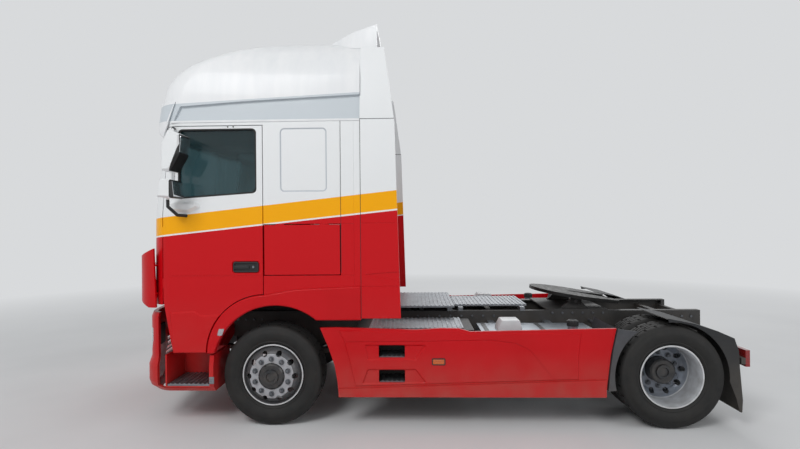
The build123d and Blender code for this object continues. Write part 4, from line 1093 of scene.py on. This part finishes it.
def addStepCaps():
    # bright cap at the end of the entry step
    twinPlates("stepCap", rectangle(stepCap), stepCap["face"], stepCap["thick"], plateAluminium, "chassis",
               "aluminium", corner=0.006, edge=0.001)


addFillerCaps()
addTankSteps()
addStepCaps()

boltRows = {
    # x and z of each row's first bolt, the step between bolts, how many, y of the face they sit on
    "railFront": (frontAxle + 0.86, 0.90, -0.09, 7, 0.446),
    "railMiddle": (frontAxle - 1.42, 0.93, -0.12, 8, 0.430),
    "railLow": (frontAxle - 1.42, 0.76, -0.12, 8, 0.430),
    "plateFoot": (rearAxle + 0.90, 0.96, -0.11, 6, 0.430),
    "railRear": (rearAxle - 0.20, 0.92, -0.10, 5, 0.430),
}
boltHead = {"radius": 0.014, "high": 0.010, "rim": 0.003, "rise": 0.0015, "off": 0.004}


def addBolts():
    pattern = startPiece("cylinder", "boltPattern", vertices=6, radius=boltHead["radius"],
                         depth=boltHead["high"], rotation=sideways)
    startEdit(pattern)
    pickFaces(pattern, lambda face: face.normal.z < -0.9)
    bpy.ops.mesh.inset(thickness=boltHead["rim"])
    pull((0, boltHead["rise"], 0))
    endEdit()
    heads = []
    for x, z, step, count, face in boltRows.values():
        for number in range(count):
            for side, turn in sides:
                head = copyOf(pattern, "boltHead")
                head.location = (x + step * number, turn * (face + boltHead["off"]), z)
                head.scale = (1, turn, 1)
                heads.append(head)
    bpy.data.objects.remove(pattern)
    finishPiece(joinInto(heads, "frameBolts"), nutSteel, "chassis")


addBolts()
print("chassis dressed")

padding = {
    "seatGrid": 0.008, "bedGrid": 0.016, "pressure": 4.0, "lastFrame": 20, "seamHalf": 0.008,
    "bolsterFrom": 0.13, "bolsterRun": 0.06,  # distance from the seat's middle, and width of the slope
}
seatAcross = 0.60  # y of the driver's seat
seatPads = {
    # size along, across and up; x from the front axle and height of its middle; lean; furthest swell;
    # swell of the side bolsters
    "seatCushion": ((0.465, 0.455, 0.105), (0.352, 1.866), 2, 0.018, (0, 0.024)),
    "seatBack": ((0.095, 0.455, 0.54), (0.045, 2.195), -9, 0.016, (0.026, 0)),
    "seatHeadrest": ((0.075, 0.27, 0.135), (-0.042, 2.555), -9, 0.012, (0, 0)),
}
seatTray = {"size": (0.47, 0.44, 0.028), "x": frontAxle + 0.345, "z": 1.797, "edge": 0.010}
headrestRod = {
    "x": frontAxle - 0.028, "z": 2.47, "apart": 0.06, "radius": 0.006, "long": 0.14, "lean": -9,
    "edge": 0.0015,
}
mattress = {
    "size": (0.535, 2.315, 0.105), "middle": (1.047, 0.0, 1.867), "edge": 0.035, "furthest": 0.015,
    "low": 1.8006,
}
padSeams = {
    # lines pressed into each pad: axis, offset from its middle, and depth
    "seatCushion": ((1, 0.135, 0.009), (1, -0.135, 0.009), (0, -0.10, 0.006), (0, 0.10, 0.006)),
    "seatBack": ((1, 0.135, 0.009), (1, -0.135, 0.009), (2, 0.06, 0.006), (2, -0.12, 0.006)),
    "seatHeadrest": ((2, 0.0, 0.003),),
    "bunkPad": ((1, 0.40, 0.012), (1, -0.40, 0.012)),
}


def swell(piece, grid, furthest):
    # even grid, then cloth pressure blows the cover up like foam under it, no point past the cap
    applyModifier(piece, "REMESH", {"mode": "VOXEL", "voxel_size": grid})
    before = [vertex.co.copy() for vertex in piece.data.vertices]
    cloth = piece.modifiers.new("cover", "CLOTH")
    cloth.settings.use_pressure = True
    cloth.settings.uniform_pressure_force = padding["pressure"]
    cloth.settings.effector_weights.gravity = 0
    scene = bpy.context.scene
    for number in range(1, padding["lastFrame"] + 1):
        scene.frame_set(number)
    blown = piece.evaluated_get(bpy.context.evaluated_depsgraph_get()).data
    after = [vertex.co.copy() for vertex in blown.vertices]
    piece.modifiers.remove(cloth)
    scene.frame_set(1)
    for vertex, start, end in zip(piece.data.vertices, before, after):
        move = end - start
        if move.length > furthest:
            move *= furthest / move.length
        vertex.co = start + move


def pressSeams(piece, middle, seams):
    # sewn channels: the cover is drawn in along each line
    for vertex in piece.data.vertices:
        drawn = 0.0
        for axis, offset, depth in seams:
            gap = abs(vertex.co[axis] - middle[axis] - offset)
            drawn += depth * math.exp(-(gap / padding["seamHalf"]) ** 2)
        if drawn > 0.0002:
            inwards = middle - vertex.co
            for axis, offset, depth in seams:
                inwards[axis] = 0
            if inwards.length > 0.01:
                vertex.co += inwards.normalized() * drawn


def addSeatPads():
    for name, (size, (x, z), lean, furthest, bolster) in seatPads.items():
        middle = Vector((frontAxle + x, seatAcross, z))
        pad = seatedBox(name + "Left", size, middle, edge=min(size) * 0.42, segments=5)
        settle(pad)
        swell(pad, padding["seatGrid"], furthest)
        for vertex in pad.data.vertices:
            across = (abs(vertex.co.y - middle.y) - padding["bolsterFrom"]) / padding["bolsterRun"]
            across = min(1.0, max(0.0, across))
            share = across * across * (3 - 2 * across)
            vertex.co.x += bolster[0] * share * (vertex.co.x > middle.x)
            vertex.co.z += bolster[1] * share * (vertex.co.z > middle.z)
        applyModifier(pad, "SUBSURF", {"levels": 1, "render_levels": 1})
        pressSeams(pad, middle, padSeams[name])
        turn = Quaternion((0, 1, 0), math.radians(lean))
        for vertex in pad.data.vertices:
            vertex.co = turn @ (vertex.co - middle) + middle
        mate = copyOf(pad, name + "Right")
        for vertex in mate.data.vertices:
            vertex.co.y -= 2 * seatAcross
        for piece in (pad, mate):
            finishPiece(piece, seatCloth, "cab", smooth=60)
            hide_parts("seats")


def addSeatFittings():
    form = headrestRod
    for side, turn in sides:
        name = side.capitalize()
        place = (seatTray["x"], turn * seatAcross, seatTray["z"])
        tray = seatedBox("seatTray" + name, seatTray["size"], place, edge=seatTray["edge"], segments=3)
        finishPiece(tray, blackPlastic, "cab")
        rods = []
        for shift in (-form["apart"], form["apart"]):
            place = (form["x"], turn * seatAcross + shift, form["z"])
            rod = startPiece("cylinder", "headrestRod", vertices=16, radius=form["radius"], location=place,
                             depth=form["long"], rotation=(0, math.radians(form["lean"]), 0))
            roundEdges(rod, form["edge"])
            settle(rod)
            rods.append(rod)
        finishPiece(joinInto(rods, "headrestRods" + name), nutSteel, "cab")


def addMattress():
    middle = Vector(mattress["middle"])
    pad = seatedBox("bunkPad", mattress["size"], middle, edge=mattress["edge"], segments=4)
    settle(pad)
    swell(pad, padding["bedGrid"], mattress["furthest"])
    applyModifier(pad, "SUBSURF", {"levels": 1, "render_levels": 1})
    pressSeams(pad, middle, padSeams["bunkPad"])
    for vertex in pad.data.vertices:  # flat where it lies on its box
        vertex.co.z = max(vertex.co.z, mattress["low"])
    finishPiece(pad, bedCloth, "cab", smooth=60)
    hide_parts("bunk_mattress")


addSeatPads()
addSeatFittings()
addMattress()
print("seats and bunk padded")

studio = {
    "floorHalf": 40, "floorHeight": -0.001, "fadeFrom": 5.0, "fadeTo": 14.0,  # metres
    "sky": "#F4F6F8", "seen": 0.76, "light": 0.42,  # how bright the sky is to the eye, and as a lamp
    "aim": (0, 0, 1.4),
    "lamps": {  # place, size and power
        "keyLamp": ((4.5, 8.5, 8.5), 4.0, 450), "fillLamp": ((-7.0, 6.0, 5.0), 6.0, 130),
        "backLamp": ((-3.0, -8.0, 7.0), 6.0, 260),
    },
}
photoView = {  # where the photograph was taken from: metres and radians, lens and sensor in millimetres
    "place": (0.1803, 5.9893, 1.9378), "yaw": 0.0306, "pitch": 0.0016, "roll": 0.0085,
    "lens": 22.5, "sensor": 36,
}


def stagePlace():
    # pale floor that fades into an even sky
    floor = startPiece("plane", "paleFloor", size=studio["floorHalf"] * 2,
                       location=(0, 0, studio["floorHeight"]))
    material, tree, shader, place = startMaterial("paleStudioFloor", {
        "Roughness": 0.9, "Specular IOR Level": 0.0, "Emission Color": srgb(studio["sky"])})
    away = addNode(tree, "VectorMath", {"operation": "LENGTH"}, {0: place})["Value"]
    spread = {"From Min": studio["fadeFrom"], "From Max": studio["fadeTo"]}
    fade = addNode(tree, "MapRange", spread, {"Value": away})["Result"]
    tone = twoTone(tree, mottle(tree, place, 1.5, 0, 1), "#E2E3E4", "#E8E9EA")
    glow = addNode(tree, "Math", {"operation": "MULTIPLY", 1: studio["seen"]}, {0: fade})["Value"]
    feed(tree, shader, {"Base Color": paintOver(tree, tone, fade, "#000000"), "Emission Strength": glow})
    floor.data.materials.append(material)
    world = bpy.data.worlds.new("studio")
    bpy.context.scene.world = world
    world.use_nodes = True
    tree = world.node_tree
    sky = tree.nodes["Background"]
    sky.inputs["Color"].default_value = srgb(studio["sky"])
    path = addNode(tree, "LightPath")
    seen = path["Is Camera Ray"]
    for kind in ("Is Glossy Ray", "Is Transmission Ray"):
        seen = addNode(tree, "Math", {"operation": "MAXIMUM"}, {0: seen, 1: path[kind]})["Value"]
    spread = {"To Min": studio["light"], "To Max": studio["seen"]}
    feed(tree, sky, {"Strength": addNode(tree, "MapRange", spread, {"Value": seen})["Result"]})


def addLamps():
    for name, (place, size, power) in studio["lamps"].items():
        bpy.ops.object.light_add(type="AREA", location=place)
        lamp = bpy.context.object
        lamp.name = name
        lamp.data.size = size
        lamp.data.energy = power
        lamp.rotation_euler = (Vector(studio["aim"]) - Vector(place)).to_track_quat("-Z", "Y").to_euler()


def addCamera():
    bpy.ops.object.camera_add(location=photoView["place"])
    camera = bpy.context.object
    camera.name = "photoCamera"
    camera.data.lens = photoView["lens"]
    camera.data.sensor_width = photoView["sensor"]
    level = Quaternion((0, 0, 1), math.pi) @ Quaternion((1, 0, 0), math.pi / 2)
    turned = Quaternion((0, 0, 1), photoView["yaw"]) @ level
    turned = Quaternion(turned @ Vector((1, 0, 0)), photoView["pitch"]) @ turned
    turned = Quaternion(turned @ Vector((0, 0, -1)), photoView["roll"]) @ turned
    camera.rotation_euler = turned.to_euler()
    bpy.context.scene.camera = camera


stagePlace()
addLamps()
addCamera()
bpy.context.scene.view_settings.view_transform = "Standard"
print("stage and camera set")
